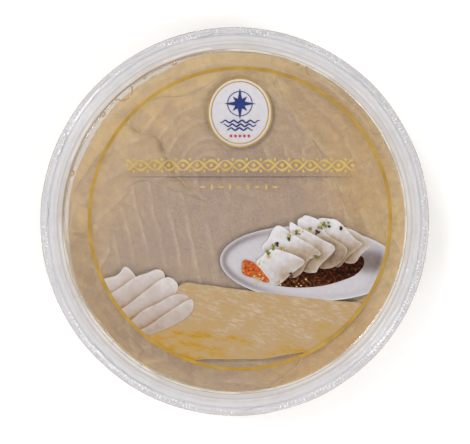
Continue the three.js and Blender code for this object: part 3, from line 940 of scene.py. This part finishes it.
def stack_part(loops):
    """The lower slices: a heap with a rounded edge for each layer, thin edges on each of them."""
    bottom = BASE_INSIDE + 0.3
    angle = np.arange(STACK_SEGMENTS) * 2 * np.pi / STACK_SEGMENTS
    step = (FISH_TOP - bottom) / STACK_LAYERS
    levels = np.arange(0, 1, 1 / STACK_STEPS)
    rings = []
    for layer in range(STACK_LAYERS):
        wave = 0.5 * (1 + np.sin((3 + layer % 3) * angle + 2.1 * layer))
        for level in levels:
            height = bottom + step * (layer + level) + 0.5 * around(angle, 70 + layer, 2, 9) * min(1, layer)
            notch = STACK_NOTCH * (1 - math.sqrt(max(0, 1 - (2 * level - 1) ** 2)))
            seed = 80 + layer * STACK_STEPS + round(level * STACK_STEPS) // 3
            fray = 0.25 * around(angle, seed, 12, 60)
            radius = np.minimum(wall_inside(height) - 0.7, fish_edge(angle)) - notch - wave + fray
            rings.append((radius, height))
    highest = rings[-1][0]
    rings += [(highest * shrink, FISH_TOP) for shrink in np.linspace(0.98, 0.05, 24)]
    section = [(0, bottom)] + [(1, 0)] * len(rings) + [(0, FISH_TOP)]
    part = lathe(section, STACK_SEGMENTS)
    points = part["points"]
    for k, (radius, height) in enumerate(rings):
        ring = points[2 + k * STACK_SEGMENTS:2 + (k + 1) * STACK_SEGMENTS]
        ring[:, 0] = radius * np.cos(angle)
        ring[:, 1] = radius * np.sin(angle)
        ring[:, 2] = height
    surface = fish_top(points[:, :2]) - sum(lift(name, points[:, :2], loops) for name in loops)
    points[:, 2] = np.minimum(points[:, 2], surface)
    points[0, 2] = bottom
    part["flake"] = flake_count(points[:, :2], (0, -60, 10, 6, 0)) + points[:, 2] * 0.3
    part["rim"] = np.full(len(points), 3.0)
    part["golden"] = 0.4 + 0.3 * waves(points[:, :2], 91, 30)
    part["brown"] = 0.4 + 0.3 * waves(points[:, :2], 92, 24)
    for kind in PATCHES.keys() - part.keys():
        part[kind] = np.zeros(len(points))
    return part


LINE_COLOUR = rgb(206, 191, 176)
AMBER_LINE = rgb(206, 164, 100)
LINE_STRENGTH = 0.36
BLOTCH_COLOUR = rgb(214, 184, 136)
MARGIN = (54, 61)  # radii between which the flesh takes on the margin's colour, painted lighter
MARGIN_COLOUR = rgb(208, 182, 142)
PALE_EDGE = rgb(222, 202, 162)
TONES = {  # the colour of each kind of patch, and how strong it is
    "grey": (rgb(149, 127, 127), 0.95),
    "golden": (rgb(220, 186, 130), 0.85),
    "amber": (rgb(184, 140, 78), 0.9),
    "brown": (rgb(142, 112, 90), 0.9),
    "line": (rgb(198, 180, 166), 0.6),
    # The crack's brown is partly the slice's edge colour, partly painted shade in the gap.
    "crack": (rgb(136, 98, 54), 0.85),
}
FLESH = {  # two tones of the flesh, then its edge; an edge darker than the flesh is painted shade along it
    "stack": ((190, 162, 120), (170, 138, 100), (190, 165, 130)),
    "slice_low_left": ((162, 133, 108), (150, 122, 98), (160, 132, 100)),
    "slice_bottom": ((174, 148, 124), (162, 134, 112), (150, 122, 100)),
    "slice_low_right": ((182, 148, 110), (170, 136, 98), (196, 166, 122)),
    "slice_upper_left": ((192, 164, 130), (180, 151, 117), (176, 142, 98)),
    "slice_right": ((172, 142, 107), (160, 129, 95), (192, 164, 124)),
    "slice_left": ((176, 149, 128), (166, 138, 118), (160, 126, 94)),
    "slice_centre": ((168, 141, 122), (158, 131, 113), (190, 168, 144)),
    "slice_middle": ((166, 140, 124), (157, 132, 117), (166, 142, 124)),
}
PITCH = 1.0


def flesh(kind):
    """Moist smoked cod: mottled, with paler lines between the flakes and a coloured edge."""
    base, second, edge = (rgb(*tone) for tone in FLESH[kind])
    look = Look("flesh_" + kind, IOR=1.42)
    x, y = look.across()
    flake = look.trait("flake") + look.noise(13, 3) * 0.5
    drawn_out = look.node("CombineXYZ", 0, {"X": flake * 5.0, "Y": x * 40.0, "Z": y * 40.0})
    streak = look.noise(1.0, 3, drawn_out)
    colour = look.mix(look.between(look.noise(13, 4), 0.38, 0.64), base, second)
    colour = look.mix(look.between(streak, 0.45, 0.75, 0.0, 0.22), colour, LINE_COLOUR)
    cloudy = look.between(look.noise(6, 4), 0.35, 0.65, 0.45, 1.0)
    for trait, (tone, strength) in TONES.items():
        colour = look.mix(look.trait(trait) * cloudy * strength, colour, tone)
    colour = with_flake_lines(look, colour, flake)
    colour = with_edges(look, colour, edge)
    blotch = look.between(look.noise(3.6, 5, rough=0.6), 0.46, 0.66, 0.0, 0.3)
    blotch = blotch * look.between(look.trait("grey"), 0.1, 0.9, 1.0, 0.25)
    colour = look.mix(blotch, colour, BLOTCH_COLOUR)
    mottle = look.noise(2.4, 5, rough=0.65)
    colour = look.mix(look.between(mottle, 0.42, 0.66, 0.0, 0.5), colour, second)
    grain = look.between(look.noise(0.5, 2), 0.3, 0.7, 0.0, 0.3)
    look.set(Base_Color=look.mix(grain, colour, LINE_COLOUR))
    look.set(Roughness=look.between(mottle, 0.3, 0.7, 0.28, 0.5))
    look.bump(mottle + streak * 1.5, 0.06, 0.5)
    return look.material


def with_flake_lines(look, colour, flake):
    """A painted shade that darkens each flake up to the line where the next one overlaps it, and the pale
    line.
    """
    past_line = look.math("FRACT", flake)
    fade = look.between(look.noise(10, 2), 0.36, 0.56, 0.25, 1.0)
    fade = fade * look.between(look.trait("plain"), 0.0, 0.9, 1.0, 0.1)
    # Painted shade before the next flake's line.
    shade = look.between(past_line, 0.55, 0.95, 0.0, 0.28) * fade
    colour = look.mix(shade, colour, TONES["brown"][0])
    line = look.most(look.between(past_line, 0.0, 0.32, 1.0, 0.0), look.between(past_line, 0.92, 1.0))
    pale = look.mix(look.trait("amber"), LINE_COLOUR, AMBER_LINE)
    return look.mix(line * LINE_STRENGTH * fade, colour, pale)


def with_edges(look, colour, edge):
    """The coloured edge of the slice, painted shade where it is darker than the flesh, and the paler,
    yellower margin near the tub's wall, painted lighter where the rim's milky plastic lies over the fish.
    """
    depth = look.trait("rim")
    # Painted shade along the edge where its tone is darker than the flesh.
    rim = look.between(depth, 0.1, 0.5, 0.55, 0.0) + look.between(depth, 0.3, 1.6, 0.2, 0.0)
    rim = rim * look.between(look.noise(7), 0.3, 0.55)
    colour = look.mix(rim, colour, look.mix(look.trait("pale"), edge, PALE_EDGE))
    # Painted light: the flesh is made paler near the tub's wall.
    margin = look.between(look.radius(), *MARGIN, 0.0, 0.4)
    margin = margin * look.between(look.trait("amber"), 0.2, 1.0, 1.0, 0.3)
    margin = margin * look.between(look.trait("brown"), 0.1, 0.8, 1.0, 0.2)
    return look.mix(margin, colour, MARGIN_COLOUR)


def make_fish():
    loops = slice_loops()
    new_piece("cod_stack", stack_part(loops), flesh("stack"), "cod_stack", "fish_stack")
    slots = {row["node"]: row["material_slot"] for row in frame["record"]["subparts"]}
    for name in SLICES:
        new_piece("cod_" + name, slice_part(name, loops, PITCH), flesh(name), slots[name], name)


# --- The oil ---
INTO_WALL = 0.12  # the oil reaches this far into the plastic
OIL_TOP = PANEL_TOP - WALL - 0.2
OIL_LEVELS = 14
OIL_SEGMENTS = 240


def oil_look():
    look = Look("oil", IOR=1.33, Base_Color=rgb(254, 251, 240), Transmission_Weight=1.0)
    look.set(Roughness=look.between(look.noise(6), 0.3, 0.7, 0.0, 0.03))
    look.lit_through(rgb(254, 252, 244))
    return look.material


def make_oil():
    bottom = BASE_INSIDE - INTO_WALL
    wall = [(wall_inside(z) + INTO_WALL, z) for z in np.linspace(bottom, OIL_TOP, OIL_LEVELS)]
    body = np.array([(0, bottom), *wall, (0, OIL_TOP)])
    part = lathe(dense(body, lambda radius: 3.0), OIL_SEGMENTS)
    new_piece("oil", part, oil_look(), "oil")


# --- The printed film on the panel ---
RING_CENTRE = np.array([1.9, 1.0])
RING_RADIUS = 54.05
RING_WIDTH = 1.26
INK = 0.03  # thickness of one printed layer
LAYER_STEP = 0.045
FIRST_LAYER = PANEL_TOP + 0.01
OUTLINE_STEP = 0.7
LAYERS = {  # which layer each kind lies in, or starts from
    "plate": 1, "fillet": 2, "toast": 3, "folded": 3, "slices": 4, "rule": 5, "badge": 6, "ring": 7,
    "gold": 8, "figures": 10, "roe": 10, "star": 11, "crumbs": 13,
}
GREYS = [(0.0, 116, 98, 90), (0.4, 172, 163, 166), (0.75, 206, 200, 204), (1.0, 232, 229, 233)]
INKS = {  # tones from 0 to 1, each with the colour that it is to look like
    "gold": [(0.0, 158, 122, 42), (0.5, 194, 154, 64), (1.0, 222, 190, 104)],
    "badge": GREYS,
    "rule": [(0.0, 96, 78, 74), (1.0, 140, 120, 112)],
    "blue": [(0.0, 28, 44, 112), (1.0, 44, 62, 132)],
    "red": [(0.0, 196, 52, 34), (1.0, 216, 76, 50)],
    "plate": GREYS,
    "toast": [(0.0, 24, 4, 0), (0.45, 64, 26, 8), (0.8, 106, 60, 30), (1.0, 140, 94, 58)],
    "slices": [(0.0, 118, 90, 66), (0.4, 182, 160, 136), (0.7, 208, 200, 197), (1.0, 234, 230, 232)],
    "roe": [(0.0, 120, 44, 18), (0.4, 192, 78, 24), (0.8, 208, 100, 40), (1.0, 216, 148, 74)],
    "green": [(0.0, 84, 92, 22), (1.0, 150, 152, 52)],
    "dark": [(0.0, 48, 22, 20), (1.0, 96, 52, 36)],
    "yellow": [(0.0, 198, 156, 40), (1.0, 232, 214, 150)],
    "fillet": [(0.0, 212, 190, 160), (0.34, 190, 160, 122), (0.62, 194, 158, 100), (1.0, 192, 142, 16)],
    "folded": [(0.0, 158, 120, 78), (0.35, 186, 166, 152), (0.7, 204, 190, 183), (1.0, 224, 215, 212)],
}


def layer(kind, above=0):
    """Bottom and top of a kind's printed layer, or of one above it."""
    bottom = FIRST_LAYER + (LAYERS[kind] + above) * LAYER_STEP
    return bottom, bottom + INK


def inside_ring(angle):
    return np.full(np.shape(angle), RING_RADIUS - RING_WIDTH / 2 + 0.2)


def field(outline, height, tone_at, pitch=0.9, clip=True, insets=(0.15,)):
    """A flat field of the print. tone_at(places, depth) gives the tone of its colour."""
    loop = closed_curve(outline, OUTLINE_STEP)
    if clip:
        loop = drawn_in(loop, RING_CENTRE, inside_ring)
    places, faces = fill(loop, pitch, insets)
    depth = depth_inside(places, anticlockwise(loop), 20)
    bottom, top = height
    flat = np.ones(len(places))
    return cushion(places, faces, flat * top, flat * bottom, tone=np.clip(tone_at(places, depth), 0, 1))


def ink(kind, grain=0.25, length=1.5, stretch=None, bend=0.0, **constants):
    """Printed ink: a colour ramp over the tone, with some grain. It may be stretched: degrees, times."""
    look = Look("ink_" + kind, Roughness=0.32, **constants)
    place = look.place()
    if stretch:
        degrees, times = stretch
        inputs = {"Vector": place, "Rotation": (0, 0, math.radians(degrees)), "Scale": (1, 1 / times, 1)}
        place = look.node("Mapping", 0, inputs, vector_type="TEXTURE")
    grains = look.noise(length * MM, 4.0, place, bend=bend)
    tone = look.trait("tone") + look.between(grains, 0.25, 0.75, -grain, grain)
    look.set(Base_Color=look.ramp(tone, [(at, seen(*colour)) for at, *colour in INKS[kind]]))
    look.bump(grains, 0.01, 0.3)
    return look.material


def printed(kind, part, slot="print_picture", group="", **facts):
    return new_piece("print_" + group + kind, part, ink(kind, **facts), slot)


def ellipse(middle, across, up, count=72):
    angle = np.arange(count) * 2 * np.pi / count
    return np.stack([middle[0] + across * np.cos(angle), middle[1] + up * np.sin(angle)], 1)


def star(middle, points, outer, inner, turn=90.0):
    spikes = [polar(outer if k % 2 == 0 else inner, turn + k * 180 / points) for k in range(2 * points)]
    return np.array(spikes) + middle


def lozenge(middle, across, up):
    return np.array(middle) + [(across, 0), (0, up), (-across, 0), (0, -up)]


BADGE = {"middle": (1.9, 39.1), "across": 11.4, "up": 12.3, "star_up": 3.2, "waves_up": -3.2, "row_up": -8.4}
TITLE = {"middle": (1.8, 20.2), "half_length": 40.6, "swing": 1.75, "wave": 10.15, "stroke": 0.62}
SUBTITLE = {"middle": (1.6, 12.4), "half_length": 13.0, "count": 9}
RULE = {"y": 16.0, "from": -37.7, "to": 42.3, "width": 0.45}


def ring_parts():
    """The ring round the whole print, and the two round the badge."""
    circle = ellipse(RING_CENTRE, RING_RADIUS, RING_RADIUS, 240)
    parts = [ribbon(circle, RING_WIDTH, *layer("ring"), closed=True, tone=0.42)]
    for shrink, width in ((0.0, 0.55), (1.15, 0.42)):
        oval = ellipse(BADGE["middle"], BADGE["across"] - shrink, BADGE["up"] - shrink, 120)
        parts.append(ribbon(oval, width, *layer("gold"), closed=True))
    return parts


def title_parts():
    """A plait of two waving bands, with beads in it and lozenges beside it."""
    middle, wave, tone = np.array(TITLE["middle"]), TITLE["wave"], 0.95
    x = np.linspace(-TITLE["half_length"], TITLE["half_length"], 400)
    parts = []
    for above, sign in enumerate((1, -1)):
        swing = sign * TITLE["swing"] * np.cos(x * 2 * np.pi / wave)
        width = TITLE["stroke"] * (1 + 0.45 * np.sin(x * 4 * np.pi / wave + sign))
        parts.append(ribbon(np.stack([x, swing], 1) + middle, width, *layer("gold", above), tone=tone))
    waves_across = round(2 * TITLE["half_length"] / wave)
    for k in range(2 * waves_across + 1):
        place = middle + ((k - waves_across) * wave / 2, 0)
        shape = lozenge(place, 0.85, 0.85) if k % 2 else ellipse(place, 0.62, 0.62, 20)
        parts.append(prism(shape, *layer("gold"), tone))
    for k in range(2 * waves_across):
        for side in (2.1, -2.1):
            place = middle + ((k + 0.5 - waves_across) * wave / 2, side)
            parts.append(prism(lozenge(place, 0.5, 0.75), *layer("gold"), tone))
    return parts


def subtitle_parts():
    parts = []
    for k, share in enumerate(np.linspace(-1, 1, SUBTITLE["count"])):
        place = np.array(SUBTITLE["middle"]) + (share * SUBTITLE["half_length"], 0)
        shape = lozenge(place, 0.55, 1.3) if k % 2 else lozenge(place, 1.25, 0.45)
        parts.append(prism(shape, *layer("gold"), 0.8))
    return parts


def badge_parts():
    """Blue and red figures of the badge: a compass star over three waves, and a row of lozenges."""
    flat = layer("figures")
    centre = np.array(BADGE["middle"])
    sky = centre + (0, BADGE["star_up"])
    blue = [prism(star(sky, 4, 5.6, 1.25), *layer("star")), prism(star(sky, 4, 3.6, 1.3, 45), *flat)]
    blue.append(ribbon(ellipse(sky, 4.4, 4.4, 60), 0.25, *flat, closed=True))
    for k in range(3):
        half = 7.2 - 1.3 * k
        x = np.linspace(-half, half, 60)
        y = BADGE["waves_up"] - 1.35 * k + 0.42 * np.sin(x * 2.1 + k)
        width = 0.5 * np.sqrt(1 - (x / half / 1.02) ** 2) + 0.06
        blue.append(ribbon(centre + np.stack([x, y], 1), width, *flat))
    red = [prism(lozenge(centre + (k * 1.6, BADGE["row_up"]), 0.6, 0.6), *flat) for k in range(-2, 3)]
    return blue, red


def rule_part(steps=80):
    """A thin rule that narrows to its ends."""
    x = np.linspace(RULE["from"], RULE["to"], steps)
    width = RULE["width"] * np.sqrt(np.sin(np.linspace(0.02, 0.98, steps) * np.pi))
    return ribbon(np.stack([x, np.full(steps, RULE["y"])], 1), width, *layer("rule"))


PLATE = {"middle": (26.8, -15.1), "across": 32.0, "up": 13.4, "turn": -2.5}
PLATE_SHADE = {"middle": (48.5, -14.2), "reach": (6.4, 4.6), "strength": 0.68}
SERVED = [  # the slices on the plate, from the back one forward
    [(38.4, -2.7), (43.6, -3.7), (48.8, -8.1), (45.6, -11.7), (42.8, -15.0), (38.4, -13.2)],
    [(29.7, -0.5), (34.7, 0.9), (38.0, -0.5), (43.2, -6.1), (45.8, -7.7), (45.2, -8.9), (41.2, -12.1),
     (36.0, -16.0)],
    [(22.7, -1.2), (24.3, 1.5), (25.9, 2.2), (30.7, 0.1), (33.1, -4.5), (40.4, -10.1), (35.5, -16.4),
     (28.0, -15.0)],
    [(19.7, -1.2), (23.5, -2.1), (31.5, -6.5), (36.1, -9.7), (30.7, -15.8), (28.7, -18.4), (22.9, -16.0)],
    [(10.0, -10.7), (12.2, -6.1), (13.8, -2.7), (16.3, -1.5), (21.1, -4.7), (30.9, -11.1), (26.7, -13.8),
     (23.5, -19.0), (18.7, -19.6)],
    [(7.8, -15.0), (9.8, -12.5), (13.0, -10.1), (17.1, -10.5), (25.1, -14.2), (20.7, -18.6), (15.8, -22.7),
     (13.0, -22.2), (11.0, -19.8)],
]
TOAST = [
    (13.5, -21.5), (15.8, -23.0), (21.1, -23.7), (27.1, -23.6), (33.1, -22.8), (39.2, -21.0), (43.6, -19.0),
    (46.4, -15.6), (45.0, -12.2), (34, -12), (20, -14),
]
ROE = [
    (3.2, -14.0), (6.2, -14.4), (8.6, -16.2), (10.6, -18.6), (12.6, -21.4), (10.6, -21.8), (8.4, -20.6),
    (3.4, -19.2), (2.6, -17.0),
]
FILLET = [
    (-19.6, -22.9), (-11.7, -22.7), (1.4, -24.4), (18.6, -26.5), (32.4, -28.1), (45.8, -29.3), (56, -31),
    (42, -44), (27.6, -46.5), (18.6, -47.9), (10.4, -49.3), (-2.1, -49.5), (-13.8, -49.8), (-28, -54),
    (-40, -44), (-31, -34),
]
FILLET_STREAKS = [  # its deepest golden fibres
    [(-21.1, -39.6), (-16.3, -41.1), (-10.5, -40.1)], [(-9.5, -40.6), (-6.2, -42.5), (-1.3, -42.5)],
    [(-23.5, -45.9), (-20.6, -44.4)], [(-13.4, -45.9), (-9.5, -45.4)],
    [(-1.7, -41.1), (1.2, -42.5), (7.5, -44)], [(16.7, -45.4), (20.1, -46.8), (25.8, -45.9)],
    [(29.2, -38.6), (35, -37.2)],
]
FOLDED = [  # the pale slices beside the fillet, from the back one forward
    [(-50, -22), (-42.3, -19.3), (-39.6, -16.3), (-37.2, -17.6), (-35.2, -21.0), (-38, -26), (-48, -28)],
    [(-48, -27), (-43, -25), (-36.2, -20.3), (-31.7, -18.6), (-27.5, -17.2), (-25.1, -19.3), (-27, -24),
     (-40, -32), (-48, -33)],
    [(-46, -33.5), (-39.8, -30.9), (-32.4, -25.2), (-26.1, -20.6), (-22.5, -20.4), (-20.3, -23.8), (-24, -29),
     (-34, -36), (-42, -38)],
    [(-42, -38), (-36.5, -34.9), (-32.5, -31.6), (-27.4, -29.3), (-23.5, -27.0), (-19.6, -26.0),
     (-16.2, -27.6), (-18.9, -31.2), (-24, -33.8), (-32, -39.5)],
    [(-38, -41), (-31, -37.5), (-24.1, -32.7), (-15.8, -27.9), (-15.2, -32.0), (-19.9, -36.2), (-30, -40.5)],
]
CRUMBS = {  # middle, how many and how far they spread
    "green": [
        ((13.8, -9.1), 5, 1.2), ((11.6, -11.3), 3, 0.9), ((19.3, -5.9), 6, 1.2), ((27.1, -2.9), 3, 0.9),
        ((33.1, -1.3), 6, 1.2), ((30.9, -2.5), 3, 0.9), ((29.3, -12.9), 3, 1.0), ((22.5, -3.9), 3, 0.9),
    ],
    "dark": [((29.5, -3.7), 3, 0.8), ((37.8, -2.3), 3, 0.8), ((15.0, -8.4), 2, 0.6), ((21, -19.8), 3, 1.2)],
    "yellow": [
        ((9.0, -13.8), 5, 1.4), ((17.5, -8.9), 6, 1.6), ((20.3, -4.1), 4, 1.2), ((23.9, -3.7), 5, 1.4),
        ((31.5, -0.9), 4, 1.2), ((40.4, -2.3), 3, 1.0), ((8.8, -21.0), 10, 2.4), ((12, -12.4), 4, 1.2),
        ((16, -21.8), 5, 1.6), ((24, -22.8), 4, 2.2),
    ],
}
CRUMB_SIZES = {"green": 0.8, "dark": 0.8, "yellow": 0.5}


def crumb_parts(kind):
    rng = np.random.default_rng(sum(map(ord, kind)))
    parts = []
    for middle, count, spread in CRUMBS[kind]:
        for _ in range(count):
            place = np.array(middle) + rng.normal(0, spread / 2, 2)
            turns = np.sort(rng.uniform(0, 360, 6))
            loop = place + polar(rng.uniform(0.5, 1, 6) * CRUMB_SIZES[kind], turns)
            parts.append(prism(loop, *layer("crumbs", len(parts) % 2), tone=rng.uniform(0, 1)))
    return parts


def shaded(places, fronts, reach):
    """How far places lie in the shade of the outlines in front, up to 1 for each outline."""
    total = np.zeros(len(places))
    for front in fronts:
        beside = -depth_inside(places, anticlockwise(closed_curve(front, OUTLINE_STEP)))
        total += np.exp(-np.maximum(beside, 0) / reach)
    return total


def pile(kind, outlines, slope, base, edge, mottle, shade, step=0.0):
    """Overlapping fields of print, each lighter at its own edge and darker beside those in front of it.

    The edge and the shade are strength and reach, and the mottle is seed and length.
    """
    fields = []
    for number, outline in enumerate(outlines):
        def tone_at(places, depth):
            tone = base - step * number + (places - np.mean(outline, 0)) @ np.array(slope)
            tone += edge[0] * np.exp(-depth / edge[1]) + 0.07 * waves(places, mottle[0] + number, mottle[1])
            return tone - shade[0] * shaded(places, outlines[number + 1:], shade[1])
        fields.append(field(outline, layer(kind, number), tone_at))
    return joined(fields)


def plate_tone(places, depth):
    """A bright edge, a grey ring inside it on the left, and the shade at the right end of the toast."""
    left = 1 - smoothstep(places[:, 0], -2, 24)
    rim = np.exp(-(((depth - 1.4) / 1.1) ** 2)) * (0.1 + 0.46 * left)
    beside = ((places - PLATE_SHADE["middle"]) / PLATE_SHADE["reach"]) ** 2
    shade = PLATE_SHADE["strength"] * np.exp(-beside.sum(1) ** 2)
    behind = 0.1 * smoothstep(places[:, 1], -10, 0)
    return 0.76 + 0.25 * np.exp(-depth / 0.3) - rim - behind - shade


def toast_tone(places, depth):
    """Darker at the ends and under the slices, with a lighter crumb in the middle."""
    crumb = np.exp(-(((places - (26, -21.5)) / (11, 2.2)) ** 2).sum(1))
    return 0.22 + 0.34 * crumb + 0.2 * np.exp(-depth / 0.4)


def fillet_tone(places, depth):
    """Paler in the middle, golden along the lower edge and at the lower left, with darker streaks there."""
    left = smoothstep(-places[:, 0], -6, 22)
    low = np.exp(-depth / 3.0) * smoothstep(-places[:, 1], 36, 44) + left * smoothstep(-places[:, 1], 30, 42)
    turned = places @ np.array([[0.9, -0.44], [0.44 * 4, 0.9 * 4]])
    streaks = smoothstep(waves(turned, 121, 11), -0.2, 1.2)
    spots = [spot for path in FILLET_STREAKS for spot in track(path, 1.5, 0.5, 0.9)]
    return 0.35 + low * (0.2 + 0.26 * streaks) + 0.3 * patches(places, spots) + 0.07 * waves(places, 120, 9)


def make_title_and_badge():
    gold = joined(ring_parts() + title_parts() + subtitle_parts())
    printed("gold", gold, "print_gold", grain=0.2, length=6).visible_shadow = False
    oval = ellipse(BADGE["middle"], BADGE["across"] + 0.2, BADGE["up"] + 0.2)
    badge = field(oval, layer("badge"), lambda places, depth: 0.72 + 0.004 * places[:, 1], clip=False)
    printed("badge", badge, grain=0.04)
    blue, red = badge_parts()
    printed("rule", rule_part())
    printed("blue", joined(blue))
    printed("red", joined(red))


def make_plate_picture():
    tilt = math.radians(PLATE["turn"])
    turning = np.array([(math.cos(tilt), math.sin(tilt)), (-math.sin(tilt), math.cos(tilt))])
    outline = ellipse((0, 0), PLATE["across"], PLATE["up"]) @ turning + PLATE["middle"]
    rings = (0.15, 0.45, 0.9, 1.4, 2, 2.7, 3.5)
    printed("plate", field(outline, layer("plate"), plate_tone, 0.7, insets=rings), grain=0.03)
    toast = field(TOAST, layer("toast"), toast_tone)
    printed("toast", toast, grain=0.5, length=1.1, Specular_IOR_Level=0.15)
    slices = pile("slices", SERVED, (-0.02, 0.035), 0.72, (0.25, 0.25), (100, 7), (0.42, 1.6))
    printed("slices", slices, grain=0.08)
    roe = field(ROE, layer("roe"), lambda places, depth: 0.5 + 0.3 * np.exp(-depth / 0.5))
    printed("roe", roe, grain=0.5, length=0.9)
    for kind in CRUMBS:
        printed(kind, joined(crumb_parts(kind)), group="crumbs_")


def make_fillet_picture():
    fillet = field(FILLET, layer("fillet"), fillet_tone)
    printed("fillet", fillet, grain=0.27, length=2.4, stretch=(-18, 4.5), bend=0.7)
    folded = pile("folded", FOLDED, (-0.01, 0.055), 0.68, (0.15, 0.35), (110, 6), (0.5, 0.6), step=0.05)
    printed("folded", folded, grain=0.07)


# --- Floor, light and camera ---
CAMERA_HEIGHT = 0.7  # metres above the plane of the lid's bead
BEAD_MIDDLE = SKIRT_FOOT + 0.7
SENSOR = 36
PHOTO_WIDTH = 470  # pixels
MM_PER_PIXEL = 0.36008
LID_MIDDLE = (234.6, 221.5)  # where the photo has the lid's middle, in pixels
PHOTO_MIDDLE = (235, 222)
FLOOR = {"half": 3.0, "glow": 0.12}  # metres, and how strongly it shines
LAMP_DISTANCE = 0.9
LAMPS = {  # heading and elevation in degrees, width in metres, and power
    "key": (140, 50, 0.22, 2.4), "fill": (325, 45, 0.22, 2.2), "side": (225, 40, 0.2, 1.2),
}
TENT = {"From Min": 0.86, "From Max": 0.97, "To Min": 0.8, "To Max": 0.2}  # how high, and how bright


def make_floor():
    mesh = bpy.data.meshes.new("floor")
    corners = [Vector((x, y, 0)) * FLOOR["half"] for x, y in ((-1, -1), (1, -1), (1, 1), (-1, 1))]
    mesh.from_pydata(corners, [], [(0, 1, 2, 3)])
    look = Look("floor", Roughness=0.8, Emission_Color=rgb(255, 255, 255), Emission_Strength=FLOOR["glow"])
    look.set(Base_Color=look.mix(look.noise(200), rgb(246, 246, 246), rgb(250, 250, 250)))
    mesh.materials.append(look.material)
    floor = bpy.data.objects.new("floor", mesh)
    bpy.context.scene.collection.objects.link(floor)


def softbox(name, heading, elevation, size, power):
    light = bpy.data.lights.new(name, "AREA")
    light.shape = "DISK"
    light.size = size
    light.energy = power
    lamp = bpy.data.objects.new(name, light)
    out = Vector((*polar(math.cos(math.radians(elevation)), heading), math.sin(math.radians(elevation))))
    lamp.location = out * LAMP_DISTANCE
    lamp.rotation_euler = out.to_track_quat("Z", "Y").to_euler()
    bpy.context.scene.collection.objects.link(lamp)


def make_world():
    """A white tent round the object, darker straight above, where a camera looks in."""
    world = bpy.data.worlds.new("studio")
    bpy.context.scene.world = world
    world.use_nodes = True
    nodes, links = world.node_tree.nodes, world.node_tree.links
    place = nodes.new("ShaderNodeTexCoord")
    split = nodes.new("ShaderNodeSeparateXYZ")
    height = nodes.new("ShaderNodeMapRange")
    height.interpolation_type = "SMOOTHSTEP"
    for key, value in TENT.items():
        height.inputs[key].default_value = value
    links.new(place.outputs["Generated"], split.inputs[0])
    links.new(split.outputs["Z"], height.inputs["Value"])
    links.new(height.outputs["Result"], nodes["Background"].inputs["Strength"])
    nodes["Background"].inputs["Color"].default_value = (1, 1, 1, 1)


def make_camera():
    data = bpy.data.cameras.new("camera")
    data.sensor_width = SENSOR
    data.lens = SENSOR * CAMERA_HEIGHT / (PHOTO_WIDTH * MM_PER_PIXEL * MM)
    data.shift_x = (PHOTO_MIDDLE[0] - LID_MIDDLE[0]) / PHOTO_WIDTH
    data.shift_y = -(PHOTO_MIDDLE[1] - LID_MIDDLE[1]) / PHOTO_WIDTH
    camera = bpy.data.objects.new("camera", data)
    camera.location = (0, 0, CAMERA_HEIGHT + BEAD_MIDDLE * MM)
    bpy.context.scene.collection.objects.link(camera)
    bpy.context.scene.camera = camera


make_camera()
make_world()
make_floor()
for name, facts in LAMPS.items():
    softbox(name, *facts)
bpy.context.scene.view_settings.view_transform = "Standard"

new_piece("tub_shell", tub_part(), plastic("tub_plastic", 0.15, 0.08, tub_finish), "tub_plastic", "tub")
new_piece("lid_shell", lid_part(), plastic("lid_plastic", 0.36, 0.3, lid_finish), "lid_plastic", "lid")
make_fish()
make_oil()
make_title_and_badge()
make_plate_picture()
make_fillet_picture()
